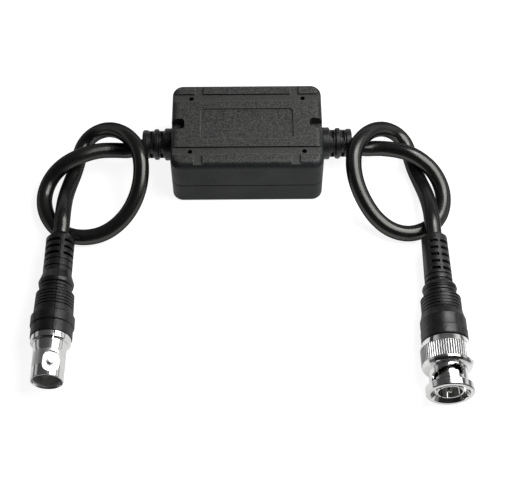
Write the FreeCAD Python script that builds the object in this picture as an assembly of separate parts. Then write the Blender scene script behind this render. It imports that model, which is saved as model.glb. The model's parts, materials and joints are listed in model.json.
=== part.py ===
import FreeCAD, Part
import math
import os

# Inline isolator for one coaxial video line. A two-part moulded case holds a board and a toroid,
# a short coaxial lead leaves each end through a segmented strain relief and is tied in a loose
# overhand knot, and the leads end in a bayonet jack (-X) and a bayonet plug (+X).
# Frame: origin at the middle of the case's underside, +X towards the plug, +Y to the rear, +Z up.
# All sizes are in millimetres.

V = FreeCAD.Vector
X_AXIS, Y_AXIS, Z_AXIS = V(1, 0, 0), V(0, 1, 0), V(0, 0, 1)
ZERO = V(0, 0, 0)

# How far a cutting tool runs past the solid that it cuts
OVERCUT = 0.5

# Case
CASE_LENGTH = 48.0
CASE_DEPTH = 33.0
CASE_HEIGHT = 19.0
PARTING_HEIGHT = 8.4
CASE_CORNER_RADIUS = 3.5
CASE_LEAST_INNER_RADIUS = 0.5
CASE_TOP_EDGE_RADIUS = 2.3
CASE_BOTTOM_EDGE_RADIUS = 0.8
CASE_WALL = 1.8
CASE_FLOOR = 1.8
CASE_ROOF = 2.4
TONGUE_HEIGHT = 0.8
TONGUE_THICKNESS = 0.8
TONGUE_CLEARANCE = 0.05
PARTING_GROOVE_HEIGHT = 0.3
PARTING_GROOVE_DEPTH = 0.25

# Relief on the top face
CHANNEL_OFFSET = 10.7
CHANNEL_WIDTH = 3.0
CHANNEL_DEPTH = 0.7
BRANCH_OFFSET = 15.3
BRANCH_WIDTH = 2.8
LABEL_LENGTH = 29.4
LABEL_WIDTH = 12.2
LABEL_DEPTH = 0.5
LABEL_CORNER_RADIUS = 1.2
NOTCH_WIDTH = 4.2
NOTCH_REACH = 4.2
NOTCH_DEPTH = 3.2
NOTCH_FLOOR = 1.2
NOTCH_CORNER_RADIUS = 1.3

# Press pins that hold the two halves
PIN_OFFSET_X = 17.9
PIN_HOLE_DIAMETER = 1.6
PIN_CLEARANCE = 0.04
PIN_LENGTH = 5.0
PIN_TIP_CHAMFER = 0.3
POST_DIAMETER = 4.0

# Board and toroid
BOARD_LENGTH = 30.0
BOARD_SIDE_GAP = 1.7
BOARD_THICKNESS = 1.2
BOARD_CORNER_RADIUS = 1.0
BOARD_STANDOFF = 1.6
STANDOFF_DIAMETER = 3.0
STANDOFF_INSET = 3.0
CORE_OUTER_DIAMETER = 18.0
CORE_INNER_DIAMETER = 9.0
CORE_HEADROOM = 2.4
CORE_EDGE_CHAMFER = 0.5
WINDING_THICKNESS = 1.0
WINDING_ANGLE = 150.0
LEAD_CORE_DIAMETER = 0.9
LEAD_SHIELD_DIAMETER = 1.2
LEAD_CORE_SIDE = 0.7
LEAD_SHIELD_SIDE = -1.2
LEAD_PAD_INSET = 1.4
LEAD_KNEE_SHIFT = 0.4
LEAD_KNEE_DROP = 1.6

# Strain relief of each lead, stations measured outwards from the case's end face
RELIEF_AXIS_HEIGHT = PARTING_HEIGHT
RELIEF_COLLAR_DIAMETER = 12.0
RELIEF_COLLAR_LENGTH = 1.8
RELIEF_COLLAR_HEADROOM = 0.1
RELIEF_SEAT_DIAMETER = 8.8
RELIEF_SEAT_CLEARANCE = 0.04
RELIEF_BASE_DIAMETER = 10.4
RELIEF_BASE_LENGTH = 2.6
RELIEF_RING_DIAMETER = 10.0
RELIEF_RING_LENGTH = 1.6
RELIEF_END_DIAMETER = 9.4
RELIEF_END_LENGTH = 1.9
RELIEF_NECK_DIAMETER = 8.8
RELIEF_NECK_LENGTH = 1.75
RELIEF_SLOT_LENGTH = 0.9
RELIEF_SLOT_DIAMETER = 6.6
RELIEF_WEB_WIDTH = 2.2
RELIEF_WEB_COUNT = 4
RELIEF_WEB_ANGLE = 45.0
RELIEF_CHAMFER = 0.35

# Coaxial leads
CORD_DIAMETER = 5.0
CORD_INSIDE_CASE = 5.4
CORD_BEND_INSIDE_RELIEF = 1.5
CORD_BEND_BEFORE_JACK = 0.9
CORD_BEND_BEFORE_PLUG = 0.6

# Jack, stations measured back from its mouth
JACK_AXIS_X = -57.8
JACK_MOUTH_Y = -84.4
JACK_ROLL = 18.0
JACK_COLLAR_DIAMETER = 13.1
JACK_BARREL_DIAMETER = 9.65
JACK_BARREL_ROOT_DIAMETER = 10.3
JACK_BARREL_MATING_LENGTH = 9.2
JACK_BARREL_LENGTH = 11.8
JACK_BORE_DIAMETER = 8.2
JACK_MOUTH_DIAMETER = 9.05
JACK_RIM_CHAMFER = 0.15
JACK_LEAD_IN = 0.9
JACK_BORE_DEPTH = 8.6
JACK_FLANGE_DIAMETER = 11.9
JACK_FLANGE_LENGTH = 2.2
JACK_FLANGE_CHAMFER = 0.4
JACK_FLANGE_SLIT_WIDTH = 0.5
JACK_FLANGE_SLIT_DEPTH = 0.9
JACK_LUG_STATION = 4.5
JACK_LUG_DIAMETER = 1.95
JACK_LUG_SPAN = 11.0
JACK_PAD_LENGTH = 6.6
JACK_PAD_WIDTH = 4.9
JACK_PAD_CORNER_RADIUS = 2.4
JACK_PAD_HEIGHT = 4.35
JACK_SPIGOT_DIAMETER = 8.4
JACK_SPIGOT_LENGTH = 6.0
JACK_INSULATOR_DIAMETER = 6.8
JACK_INSULATOR_NOSE_DIAMETER = 4.7
JACK_INSULATOR_NOSE_STATION = 4.8
JACK_INSULATOR_LENGTH = 11.2
JACK_CONTACT_DIAMETER = 2.1
JACK_CONTACT_BORE = 1.38
JACK_CONTACT_BORE_DEPTH = 5.0
JACK_CONTACT_LENGTH = 11.5
CONTACT_SLIT_WIDTH = 0.3
CONTACT_SLIT_LENGTH = 4.0
SOLDER_TAIL_DIAMETER = 1.5
SOLDER_TAIL_LENGTH = 2.4

# Crimped cable end, the same on both connectors
CRIMP_NECK_LENGTH = 12.5
CRIMP_NECK_BORE = 3.2
FERRULE_OFFSET = 1.0
FERRULE_WALL = 0.5
FERRULE_LENGTH = 16.5

# Jack boot, stations measured back from its front end
JACK_BOOT_LENGTH = 36.5
JACK_BOOT_END_DIAMETER = 12.4
JACK_BOOT_END_LENGTH = 3.55
JACK_BOOT_COLLAR_LENGTH = 3.7
JACK_BOOT_GRIP_DIAMETER = 11.5
JACK_BOOT_GRIP_STATION = 15.1
JACK_BOOT_SHOULDER_DIAMETER = 11.9
JACK_BOOT_GROOVE_DIAMETER = 9.2
JACK_BOOT_GROOVE_STATION = 16.2
JACK_BOOT_LIP_DIAMETER = 9.9
JACK_BOOT_LIP_STATION = 17.45
JACK_BOOT_FLARE_DIAMETER = 10.7
JACK_BOOT_FLARE_STATION = 18.8
JACK_BOOT_RIB_DIAMETER = 8.8
JACK_BOOT_RIB_STATION = 21.75
JACK_BOOT_TIP_DIAMETER = 5.6
JACK_BOOT_TIP_LENGTH = 2.0

# Plug, stations measured back from the rim of its nut
PLUG_AXIS_X = 57.4
PLUG_RIM_Y = -89.8
NUT_DIAMETER = 15.0
NUT_LENGTH = 16.2
NUT_RIM_DIAMETER = 14.0
NUT_RIM_LENGTH = 2.4
NUT_RIM_CHAMFER = 0.3
NUT_BARREL_DIAMETER = 11.3
NUT_BARREL_LENGTH = 5.1
NUT_SHOULDER_DIAMETER = 13.8
NUT_SHOULDER_SLOPE = 0.4
NUT_SHOULDER_CHAMFER = 0.7
NUT_EDGE_LENGTH = 0.6
NUT_KNURL_LENGTH = 4.8
NUT_REAR_DIAMETER = 13.8
NUT_REAR_CHAMFER = 0.2
NUT_BORE_DIAMETER = 9.9
NUT_MOUTH_DIAMETER = 11.5
NUT_LEAD_IN = 1.4
NUT_FLANGE_STATION = 12.65
NUT_FLANGE_THICKNESS = 0.95
NUT_REAR_BORE = 12.4
NUT_RUNNING_CLEARANCE = 0.06
KNURL_COUNT = 64
KNURL_DEPTH = 0.3
BAYONET_WIDTH = 2.1
BAYONET_ENTRY_ANGLE = -60.0
BAYONET_KNEE_ANGLE = -56.0
BAYONET_TOP_ANGLE = 17.0
BAYONET_DETENT_ANGLE = 30.0
BAYONET_ENTRY_STATION = 3.2
BAYONET_KNEE_STATION = 4.4
BAYONET_TOP_STATION = 6.2
BAYONET_DETENT_STATION = 5.1
BAYONET_GROOVE_DEPTH = 0.65
BAYONET_STEPS = 8
BAYONET_TOP_DROP = 0.25

SLEEVE_DIAMETER = 8.0
SLEEVE_WALL = 0.5
SLEEVE_RECESS = 0.7
SLEEVE_CHAMFER = 0.15
SLEEVE_SLIT_ANGLE = 35.0
SLEEVE_SLIT_COUNT = 4
SLEEVE_SLIT_WIDTH = 0.4
SLEEVE_SLIT_LENGTH = 5.3
GASKET_STATION = 9.0
GASKET_THICKNESS = 1.2
GASKET_CLEARANCE = 0.05
SHOULDER_THICKNESS = 1.0
SHOULDER_CLEARANCE = 0.16
WAVE_WASHER_SHEET = 0.25
WAVE_COUNT = 3
WAVE_POINTS = 24
THRUST_WASHER_THICKNESS = 0.4
WASHER_CLEARANCE = 0.06
WASHER_GAP = 0.03
BODY_NECK_DIAMETER = 7.9
BODY_COLLAR_DIAMETER = 11.2
BODY_COLLAR_LENGTH = 2.75
BODY_SPIGOT_DIAMETER = 8.8
BODY_SPIGOT_LENGTH = 5.6
PLUG_INSULATOR_STATION = 6.5
PLUG_INSULATOR_LENGTH = 8.5
PIN_DIAMETER = 1.35
PIN_RECESS = 0.6
PIN_NOSE_LENGTH = 7.4
PIN_TIP_LENGTH = 0.7
PIN_TIP_STEPS = 4
PIN_BODY_DIAMETER = 2.2
PIN_BODY_LENGTH = 8.0

# Plug boot, stations measured back from its front end
PLUG_BOOT_LENGTH = 36.8
PLUG_BOOT_DIAMETER = 13.8
PLUG_BOOT_TAPER_STATION = 7.0
PLUG_BOOT_TAPER_DIAMETER = 13.6
PLUG_BOOT_WAIST_STATION = 8.4
PLUG_BOOT_WAIST_DIAMETER = 12.8
PLUG_BOOT_LINE_STATION = 3.35
PLUG_BOOT_LINE_DEPTH = 0.12
PLUG_BOOT_GRIP_STATION = 10.3
PLUG_BOOT_GRIP_END_STATION = 15.0
PLUG_BOOT_GRIP_DIAMETER = 12.05
PLUG_BOOT_GROOVE_DIAMETER = 9.2
PLUG_BOOT_GROOVE_STATION = 16.1
PLUG_BOOT_LIP_DIAMETER = 9.9
PLUG_BOOT_LIP_STATION = 17.35
PLUG_BOOT_DOME_DIAMETER = 10.4
PLUG_BOOT_DOME_STATION = 18.1
PLUG_BOOT_DOME_LENGTH = 1.3
PLUG_BOOT_DOME_SHARES = (0.0, 0.3, 0.55, 0.78)
PLUG_BOOT_RIB_DIAMETER = 8.4
PLUG_BOOT_RIB_STATION = 22.6
PLUG_BOOT_REAR_DIAMETER = 7.9
PLUG_BOOT_REAR_CHAMFER = 0.4

# Edges and grooves of both boots
BOOT_EDGE_CHAMFER = 0.3
BOOT_SOFT_EDGE = 0.5
GRIP_GROOVE_COUNT = 5
GRIP_GROOVE_PITCH = 1.07
GRIP_GROOVE_WIDTH = 0.4
GRIP_GROOVE_DEPTH = 0.25
LIP_GROOVE_WIDTH = 0.3
LIP_GROOVE_DEPTH = 0.3
PLUG_RING_GROOVES = ((19.8, 0.7), (21.85, 0.4))
PLUG_RING_GROOVE_DEPTH = 0.4
JACK_GRIP_FIRST_STATION = 9.25
PLUG_GRIP_FIRST_STATION = 9.42
FLEX_SLOT_WIDTH = 1.0
FLEX_SLOT_DIAMETER = 6.2
JACK_FLEX_SLOT_COUNT = 3
JACK_FLEX_SLOT_PITCH = 2.35
JACK_FLEX_LAST_STATION = 27.8
JACK_FLEX_WEB_WIDTH = 1.4
JACK_RING_GROOVE_COUNT = 2
JACK_RING_GROOVE_WIDTH = 0.5
JACK_RING_GROOVE_DEPTH = 0.35
JACK_RING_GROOVE_STATION = 23.1
PLUG_FLEX_SLOT_COUNT = 5
PLUG_FLEX_SLOT_PITCH = 2.46
PLUG_FLEX_LAST_STATION = 23.7
PLUG_FLEX_WEB_WIDTH = 0.75
PLUG_FLEX_TOP_WEB_ANGLE = 10.0
PLUG_FLEX_SIDE_WEB_ANGLE = 114.0

# Heights of the two connectors, which lie on the surface that the case stands on
JACK_AXIS_HEIGHT = JACK_COLLAR_DIAMETER / 2
PLUG_AXIS_HEIGHT = NUT_DIAMETER / 2

# Places that follow from the sizes above
RELIEF_LENGTH = RELIEF_BASE_LENGTH + 2 * RELIEF_NECK_LENGTH + RELIEF_RING_LENGTH + RELIEF_END_LENGTH
RELIEF_END_X = CASE_LENGTH / 2 + RELIEF_LENGTH
BOARD_TOP = CASE_FLOOR + BOARD_STANDOFF + BOARD_THICKNESS
BOARD_WIDTH = CASE_DEPTH - 2 * CASE_WALL - 2 * BOARD_SIDE_GAP
CORE_HEIGHT = CASE_HEIGHT - CASE_ROOF - CORE_HEADROOM - BOARD_TOP - 2 * WINDING_THICKNESS
NOTCH_PAD_BOTTOM = CASE_HEIGHT - NOTCH_DEPTH - NOTCH_FLOOR
CORD_END_X = CASE_LENGTH / 2 - CORD_INSIDE_CASE
CORD_BEND_X = RELIEF_END_X - CORD_BEND_INSIDE_RELIEF
JACK_BOOT_FRONT = JACK_BARREL_LENGTH + JACK_FLANGE_LENGTH
JACK_SPIGOT_END = JACK_BOOT_FRONT + JACK_SPIGOT_LENGTH
JACK_CORD_STATION = JACK_SPIGOT_END + CRIMP_NECK_LENGTH
SHOULDER_STATION = GASKET_STATION + GASKET_THICKNESS
NECK_STATION = SHOULDER_STATION + SHOULDER_THICKNESS
COLLAR_STATION = NUT_FLANGE_STATION + NUT_FLANGE_THICKNESS + WASHER_GAP
PLUG_BOOT_FRONT = COLLAR_STATION + BODY_COLLAR_LENGTH
BODY_SPIGOT_END = PLUG_BOOT_FRONT + BODY_SPIGOT_LENGTH
PLUG_CORD_STATION = BODY_SPIGOT_END + CRIMP_NECK_LENGTH
JACK_CORD_BEND_Y = JACK_MOUTH_Y + JACK_BOOT_FRONT + JACK_BOOT_LENGTH - CORD_BEND_BEFORE_JACK
PLUG_CORD_BEND_Y = PLUG_RIM_Y + PLUG_BOOT_FRONT + PLUG_BOOT_LENGTH - CORD_BEND_BEFORE_PLUG

# Route of each lead: the points that its runs join, in order from inside the case to inside the boot
LEFT_ROUTE = [
    (-CORD_END_X, 0.0, RELIEF_AXIS_HEIGHT),
    (-CORD_BEND_X, 0.0, RELIEF_AXIS_HEIGHT),
    (-37.6, -1.7, 7.3),
    (-42.9, -1.3, 7.3),
    (-48.2, -2.3, 8.4),
    (-53.4, -4.6, 8.8),
    (-58.4, -6.8, 7.7),
    (-62.8, -9.9, 5.0),
    (-65.1, -15.0, 2.9),
    (-64.7, -21.1, 2.5),
    (-62.0, -26.8, 2.5),
    (-57.8, -30.7, 2.5),
    (-52.0, -32.3, 2.5),
    (-45.8, -31.4, 2.8),
    (-40.4, -28.4, 4.4),
    (-36.2, -23.8, 7.0),
    (-33.7, -18.0, 10.4),
    (-33.2, -11.8, 13.6),
    (-34.6, -6.2, 14.8),
    (-37.6, -1.3, 14.1),
    (-41.4, 3.1, 11.8),
    (-45.8, 6.2, 8.8),
    (-50.4, 6.7, 5.8),
    (-53.8, 4.1, 3.6),
    (-55.1, -0.9, 2.6),
    (-56.0, -6.6, 2.5),
    (-57.2, -12.2, 3.1),
    (-57.8, -18.0, 4.9),
    (-57.7, -23.4, 7.1),
    (-57.5, -28.8, 8.6),
    (JACK_AXIS_X, JACK_CORD_BEND_Y, JACK_AXIS_HEIGHT),
    (JACK_AXIS_X, JACK_MOUTH_Y + JACK_CORD_STATION, JACK_AXIS_HEIGHT),
]
RIGHT_ROUTE = [
    (CORD_END_X, 0.0, RELIEF_AXIS_HEIGHT),
    (CORD_BEND_X, 0.0, RELIEF_AXIS_HEIGHT),
    (37.2, -1.5, 7.2),
    (42.2, -1.2, 7.2),
    (47.0, -2.6, 8.3),
    (51.8, -4.4, 8.9),
    (56.2, -6.9, 8.0),
    (60.1, -10.1, 5.9),
    (62.6, -14.8, 3.2),
    (62.5, -20.6, 2.5),
    (60.4, -26.2, 2.5),
    (56.0, -30.2, 2.5),
    (50.4, -31.9, 2.5),
    (44.8, -30.6, 3.2),
    (40.0, -27.2, 5.2),
    (36.4, -22.4, 8.2),
    (34.0, -17.2, 11.4),
    (33.3, -11.8, 14.0),
    (34.4, -6.3, 14.8),
    (37.2, -1.5, 14.1),
    (40.8, 2.9, 11.6),
    (44.9, 5.9, 8.4),
    (49.0, 6.3, 5.4),
    (52.0, 3.8, 3.5),
    (53.2, -0.8, 2.6),
    (54.2, -6.4, 2.5),
    (55.5, -11.8, 3.2),
    (56.6, -17.6, 4.9),
    (57.1, -23.4, 7.0),
    (57.3, -29.2, 8.3),
    (PLUG_AXIS_X, PLUG_CORD_BEND_Y, PLUG_AXIS_HEIGHT),
    (PLUG_AXIS_X, PLUG_RIM_Y + PLUG_CORD_STATION, PLUG_AXIS_HEIGHT),
]


def cylinder(diameter, length, base, axis):
    """Round bar from a base point along an axis."""
    return Part.makeCylinder(diameter / 2, length, base, axis)


def turned(profile):
    """Solid of revolution about local X from (station, radius) points."""
    points = [V(station, radius, 0) for station, radius in profile]
    return Part.Face(Part.makePolygon(points + points[:1])).revolve(ZERO, X_AXIS, 360)


def ring(inner_diameter, outer_diameter, start, end):
    """Plain ring about local X between two stations."""
    a, b = inner_diameter / 2, outer_diameter / 2
    return turned([(start, a), (start, b), (end, b), (end, a)])


def fuse(shapes):
    """One solid from shapes that meet, with the joint lines taken out."""
    first, rest = shapes[0], shapes[1:]
    return first.multiFuse(rest).removeSplitter() if rest else first


def cut(shape, tools):
    """The shape with every tool taken out of it."""
    return shape.cut(Part.makeCompound(tools)) if tools else shape


def largest_solid(shape):
    """The one solid of a result that may be wrapped in a compound."""
    return max(shape.Solids, key=lambda solid: solid.Volume)


def rounded_plate(length, width, radius, bottom, top):
    """Upright plate with rounded corners, centred on the Z axis."""
    x, y = length / 2, width / 2
    plate = Part.makeBox(length, width, top - bottom, V(-x, -y, bottom))
    uprights = [e for e in plate.Edges if abs(e.tangentAt(e.FirstParameter).z) > 0.9]
    return plate.makeFillet(radius, uprights)


def edges_at_height(shape, height):
    """Edges of a shape that lie flat at a height."""
    box = [(e, e.BoundBox) for e in shape.Edges]
    return [e for e, b in box if abs(b.ZMin - height) < 1e-4 and abs(b.ZMax - height) < 1e-4]


def placed_forward(shape, axis_x, front_y, axis_z):
    """Local +X runs back from the front end: stand it along +Y with its front at front_y."""
    placed = shape.copy()
    placed.rotate(ZERO, Z_AXIS, 90)
    placed.translate(V(axis_x, front_y, axis_z))
    return placed


def placed_jack(shape):
    """Put a piece of the jack, with stations from the mouth, in its place."""
    rolled = shape.copy()
    rolled.rotate(ZERO, X_AXIS, JACK_ROLL)
    return placed_forward(rolled, JACK_AXIS_X, JACK_MOUTH_Y, JACK_AXIS_HEIGHT)


def placed_plug(shape):
    """Put a piece of the plug, with stations from the nut's rim, in its place."""
    return placed_forward(shape, PLUG_AXIS_X, PLUG_RIM_Y, PLUG_AXIS_HEIGHT)


def shell_outline(inset, bottom, top):
    """Case outline moved in by an inset, between two heights."""
    radius = max(CASE_CORNER_RADIUS - inset, CASE_LEAST_INNER_RADIUS)
    return rounded_plate(CASE_LENGTH - 2 * inset, CASE_DEPTH - 2 * inset, radius, bottom, top)


def tongue_band(clearance):
    """Ring along the inner half of the wall that locates the two halves on each other."""
    outer = CASE_WALL - TONGUE_THICKNESS - clearance
    top = PARTING_HEIGHT + TONGUE_HEIGHT + clearance
    band = shell_outline(outer, PARTING_HEIGHT, top)
    return band.cut(shell_outline(CASE_WALL, PARTING_HEIGHT, top))


def parting_groove():
    """Fine groove round the outside of the lower half, under the line where the halves meet."""
    bottom = PARTING_HEIGHT - PARTING_GROOVE_HEIGHT
    band = shell_outline(-OVERCUT, bottom, PARTING_HEIGHT)
    return band.cut(shell_outline(PARTING_GROOVE_DEPTH, bottom, PARTING_HEIGHT))


def relief_seats():
    """Round openings of both end walls, shared by the two halves."""
    diameter = RELIEF_SEAT_DIAMETER + 2 * RELIEF_SEAT_CLEARANCE
    depth = CASE_WALL + 2 * OVERCUT
    start = CASE_LENGTH / 2 - CASE_WALL - OVERCUT
    return [cylinder(diameter, depth, V(side * start, 0, RELIEF_AXIS_HEIGHT), V(side, 0, 0))
            for side in (-1, 1)]


def pin_places():
    """The four press-pin axes, in the top face's channels."""
    return [(side * PIN_OFFSET_X, row * CHANNEL_OFFSET) for side in (-1, 1) for row in (-1, 1)]


def case_bottom():
    """Lower half: tray, tongue, board stands, posts and press pins."""
    body = shell_outline(0, 0, PARTING_HEIGHT)
    body = body.makeFillet(CASE_BOTTOM_EDGE_RADIUS, edges_at_height(body, 0))
    body = body.cut(shell_outline(CASE_WALL, CASE_FLOOR, PARTING_HEIGHT))
    added = [tongue_band(0)]
    for x, y in pin_places():
        added.append(cylinder(POST_DIAMETER, PARTING_HEIGHT - CASE_FLOOR, V(x, y, CASE_FLOOR), Z_AXIS))
        radius = PIN_HOLE_DIAMETER / 2 - PIN_CLEARANCE
        pin = Part.makeCylinder(radius, PIN_LENGTH - PIN_TIP_CHAMFER, V(x, y, PARTING_HEIGHT))
        tip = Part.makeCone(radius, radius - PIN_TIP_CHAMFER, PIN_TIP_CHAMFER,
                            V(x, y, PARTING_HEIGHT + PIN_LENGTH - PIN_TIP_CHAMFER))
        added += [pin, tip]
    for side in (-1, 1):
        for row in (-1, 1):
            place = V(side * (BOARD_LENGTH / 2 - STANDOFF_INSET),
                      row * (BOARD_WIDTH / 2 - STANDOFF_INSET), CASE_FLOOR)
            added.append(cylinder(STANDOFF_DIAMETER, BOARD_STANDOFF, place, Z_AXIS))
    return largest_solid(cut(fuse([body] + added), relief_seats() + [parting_groove()]))


def top_face_cuts():
    """Channels, their branches to the edges, the bare label recess and the end notches."""
    floor = CASE_HEIGHT - CHANNEL_DEPTH
    reach_y = CASE_DEPTH / 2 - CHANNEL_OFFSET
    cuts = []
    for row in (-1, 1):
        centre = row * CHANNEL_OFFSET
        cuts.append(Part.makeBox(CASE_LENGTH, CHANNEL_WIDTH, CHANNEL_DEPTH,
                                 V(-CASE_LENGTH / 2, centre - CHANNEL_WIDTH / 2, floor)))
        for side in (-1, 1):
            corner = V(side * BRANCH_OFFSET - BRANCH_WIDTH / 2, min(centre, centre + row * reach_y), floor)
            cuts.append(Part.makeBox(BRANCH_WIDTH, reach_y, CHANNEL_DEPTH, corner))
    cuts.append(rounded_plate(LABEL_LENGTH, LABEL_WIDTH, LABEL_CORNER_RADIUS,
                              CASE_HEIGHT - LABEL_DEPTH, CASE_HEIGHT))
    notch_length = 2 * NOTCH_REACH
    for side in (-1, 1):
        notch = rounded_plate(notch_length, NOTCH_WIDTH, NOTCH_CORNER_RADIUS,
                              CASE_HEIGHT - NOTCH_DEPTH, CASE_HEIGHT)
        notch.translate(V(side * CASE_LENGTH / 2, 0, 0))
        cuts.append(notch)
    for x, y in pin_places():
        cuts.append(cylinder(PIN_HOLE_DIAMETER, CASE_HEIGHT - PARTING_HEIGHT,
                             V(x, y, PARTING_HEIGHT), Z_AXIS))
    return cuts


def case_top():
    """Upper half: rounded cover with its recesses, posts and notch pads."""
    body = shell_outline(0, PARTING_HEIGHT, CASE_HEIGHT)
    body = body.makeFillet(CASE_TOP_EDGE_RADIUS, edges_at_height(body, CASE_HEIGHT))
    ceiling = CASE_HEIGHT - CASE_ROOF
    body = body.cut(shell_outline(CASE_WALL, PARTING_HEIGHT, ceiling))
    body = body.cut(tongue_band(TONGUE_CLEARANCE))
    added = []
    for x, y in pin_places():
        added.append(cylinder(POST_DIAMETER, ceiling - PARTING_HEIGHT, V(x, y, PARTING_HEIGHT), Z_AXIS))
    pad_length = NOTCH_REACH - CASE_WALL + NOTCH_FLOOR
    pad_width = NOTCH_WIDTH + 2 * NOTCH_FLOOR
    for side in (-1, 1):
        wall_x = side * (CASE_LENGTH / 2 - CASE_WALL)
        corner = V(min(wall_x, wall_x - side * pad_length), -pad_width / 2, NOTCH_PAD_BOTTOM)
        added.append(Part.makeBox(pad_length, pad_width, ceiling - NOTCH_PAD_BOTTOM, corner))
    return largest_solid(cut(fuse([body] + added), top_face_cuts() + relief_seats()))


def relief_rings():
    """Start, end and diameter of each ring of a strain relief, from the case outwards."""
    base_end = RELIEF_BASE_LENGTH
    ring_start = base_end + RELIEF_NECK_LENGTH
    end_start = ring_start + RELIEF_RING_LENGTH + RELIEF_NECK_LENGTH
    return [(0.0, base_end, RELIEF_BASE_DIAMETER),
            (ring_start, ring_start + RELIEF_RING_LENGTH, RELIEF_RING_DIAMETER),
            (end_start, end_start + RELIEF_END_LENGTH, RELIEF_END_DIAMETER)]


def collar_headroom(wall_inside):
    """Room over the inner collar, kept free for the notch pad of the upper half."""
    low = NOTCH_PAD_BOTTOM - RELIEF_COLLAR_HEADROOM - RELIEF_AXIS_HEIGHT
    length = RELIEF_COLLAR_LENGTH + OVERCUT
    corner = V(wall_inside - length, -RELIEF_COLLAR_DIAMETER / 2 - OVERCUT, low)
    return Part.makeBox(length, RELIEF_COLLAR_DIAMETER + 2 * OVERCUT, RELIEF_COLLAR_DIAMETER, corner)


def strain_relief(side, cord):
    """Segmented relief round its cord: inner collar, wall seat, three rings and two slotted necks."""
    gap = RELIEF_SEAT_CLEARANCE
    wall_inside = -CASE_WALL - gap
    rings = relief_rings()
    profile = [(wall_inside - RELIEF_COLLAR_LENGTH, CORD_DIAMETER / 2),
               (wall_inside - RELIEF_COLLAR_LENGTH, RELIEF_COLLAR_DIAMETER / 2),
               (wall_inside, RELIEF_COLLAR_DIAMETER / 2),
               (wall_inside, RELIEF_SEAT_DIAMETER / 2),
               (gap, RELIEF_SEAT_DIAMETER / 2)]
    for start, end, diameter in rings:
        start = max(start, gap)
        profile += [(start, RELIEF_NECK_DIAMETER / 2), (start, diameter / 2 - RELIEF_CHAMFER),
                    (start + RELIEF_CHAMFER, diameter / 2), (end - RELIEF_CHAMFER, diameter / 2),
                    (end, diameter / 2 - RELIEF_CHAMFER), (end, RELIEF_NECK_DIAMETER / 2)]
    profile[-1] = (rings[-1][1], CORD_DIAMETER / 2)
    relief = turned([p for i, p in enumerate(profile) if i == 0 or p != profile[i - 1]])
    slots = []
    for index in range(len(rings) - 1):
        middle = (rings[index][1] + rings[index + 1][0]) / 2
        webs = web_bars(middle, RELIEF_SLOT_LENGTH, RELIEF_WEB_WIDTH, RELIEF_NECK_DIAMETER,
                        RELIEF_WEB_COUNT, RELIEF_WEB_ANGLE)
        slot = ring(RELIEF_SLOT_DIAMETER, RELIEF_NECK_DIAMETER + 2 * OVERCUT,
                    middle - RELIEF_SLOT_LENGTH / 2, middle + RELIEF_SLOT_LENGTH / 2)
        slots.append(cut(slot, webs))
    relief = largest_solid(cut(relief, slots + [collar_headroom(wall_inside)]))
    if side < 0:
        relief.rotate(ZERO, Z_AXIS, 180)
    relief.translate(V(side * CASE_LENGTH / 2, 0, RELIEF_AXIS_HEIGHT))
    return largest_solid(relief.cut(cord))


def web_bars(middle, length, width, diameter, count, first_angle):
    """Radial bars that a ring slot leaves standing, spread evenly round local X."""
    bars = []
    for index in range(count):
        bar = Part.makeBox(length, width, diameter, V(middle - length / 2, -width / 2, 0))
        bar.rotate(ZERO, X_AXIS, first_angle + index * 360.0 / count)
        bars.append(bar)
    return bars


def circuit_board():
    """Plain board that carries the toroid and takes the lead ends."""
    bottom = CASE_FLOOR + BOARD_STANDOFF
    return rounded_plate(BOARD_LENGTH, BOARD_WIDTH, BOARD_CORNER_RADIUS, bottom, BOARD_TOP)


def core_section(growth):
    """Radii and heights of the core's square section, grown by the winding."""
    bottom = BOARD_TOP + WINDING_THICKNESS - growth
    return (CORE_INNER_DIAMETER / 2 - growth, CORE_OUTER_DIAMETER / 2 + growth,
            bottom, bottom + CORE_HEIGHT + 2 * growth)


def core_ring(growth):
    """Ring with the core's square section, grown by the winding, edges broken."""
    inner, outer, bottom, top = core_section(growth)
    ring_solid = Part.makeCylinder(outer, top - bottom, V(0, 0, bottom))
    ring_solid = ring_solid.cut(Part.makeCylinder(inner, top - bottom, V(0, 0, bottom)))
    rims = edges_at_height(ring_solid, bottom) + edges_at_height(ring_solid, top)
    return ring_solid.makeChamfer(CORE_EDGE_CHAMFER + growth / 2, rims)


def winding(side):
    """One winding as a jacket round its part of the core."""
    inner, outer, bottom, top = core_section(WINDING_THICKNESS)
    reach = outer + OVERCUT
    sector = Part.makeCylinder(reach, top - bottom, V(0, 0, bottom), Z_AXIS, WINDING_ANGLE)
    sector.rotate(ZERO, Z_AXIS, -WINDING_ANGLE / 2 + (0 if side > 0 else 180))
    jacket = core_ring(WINDING_THICKNESS).cut(core_ring(0))
    return largest_solid(jacket.common(sector))


def bend_path(points, report=None):
    """Straight runs joined by tangent arcs; each arc is as large as its two runs allow."""
    corners = [V(*p) for p in points]
    edges, start = [], corners[0]
    for before, corner, after in zip(corners, corners[1:], corners[2:]):
        run_in, run_out = corner - before, after - corner
        turn = run_in.getAngle(run_out)
        setback = 0.45 * min(run_in.Length, run_out.Length)
        radius = setback / math.tan(turn / 2)
        unit_in = V(run_in).normalize()
        unit_out = V(run_out).normalize()
        arc_start = corner - unit_in * setback
        arc_end = corner + unit_out * setback
        middle_offset = radius * (1 / math.cos(turn / 2) - 1)
        inward = V(unit_out - unit_in).normalize()
        arc_middle = corner + inward * middle_offset
        edges.append(Part.LineSegment(start, arc_start).toShape())
        edges.append(Part.Arc(arc_start, arc_middle, arc_end).toShape())
        if report is not None:
            report.append(radius)
        start = arc_end
    edges.append(Part.LineSegment(start, corners[-1]).toShape())
    return Part.Wire(edges)


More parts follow.
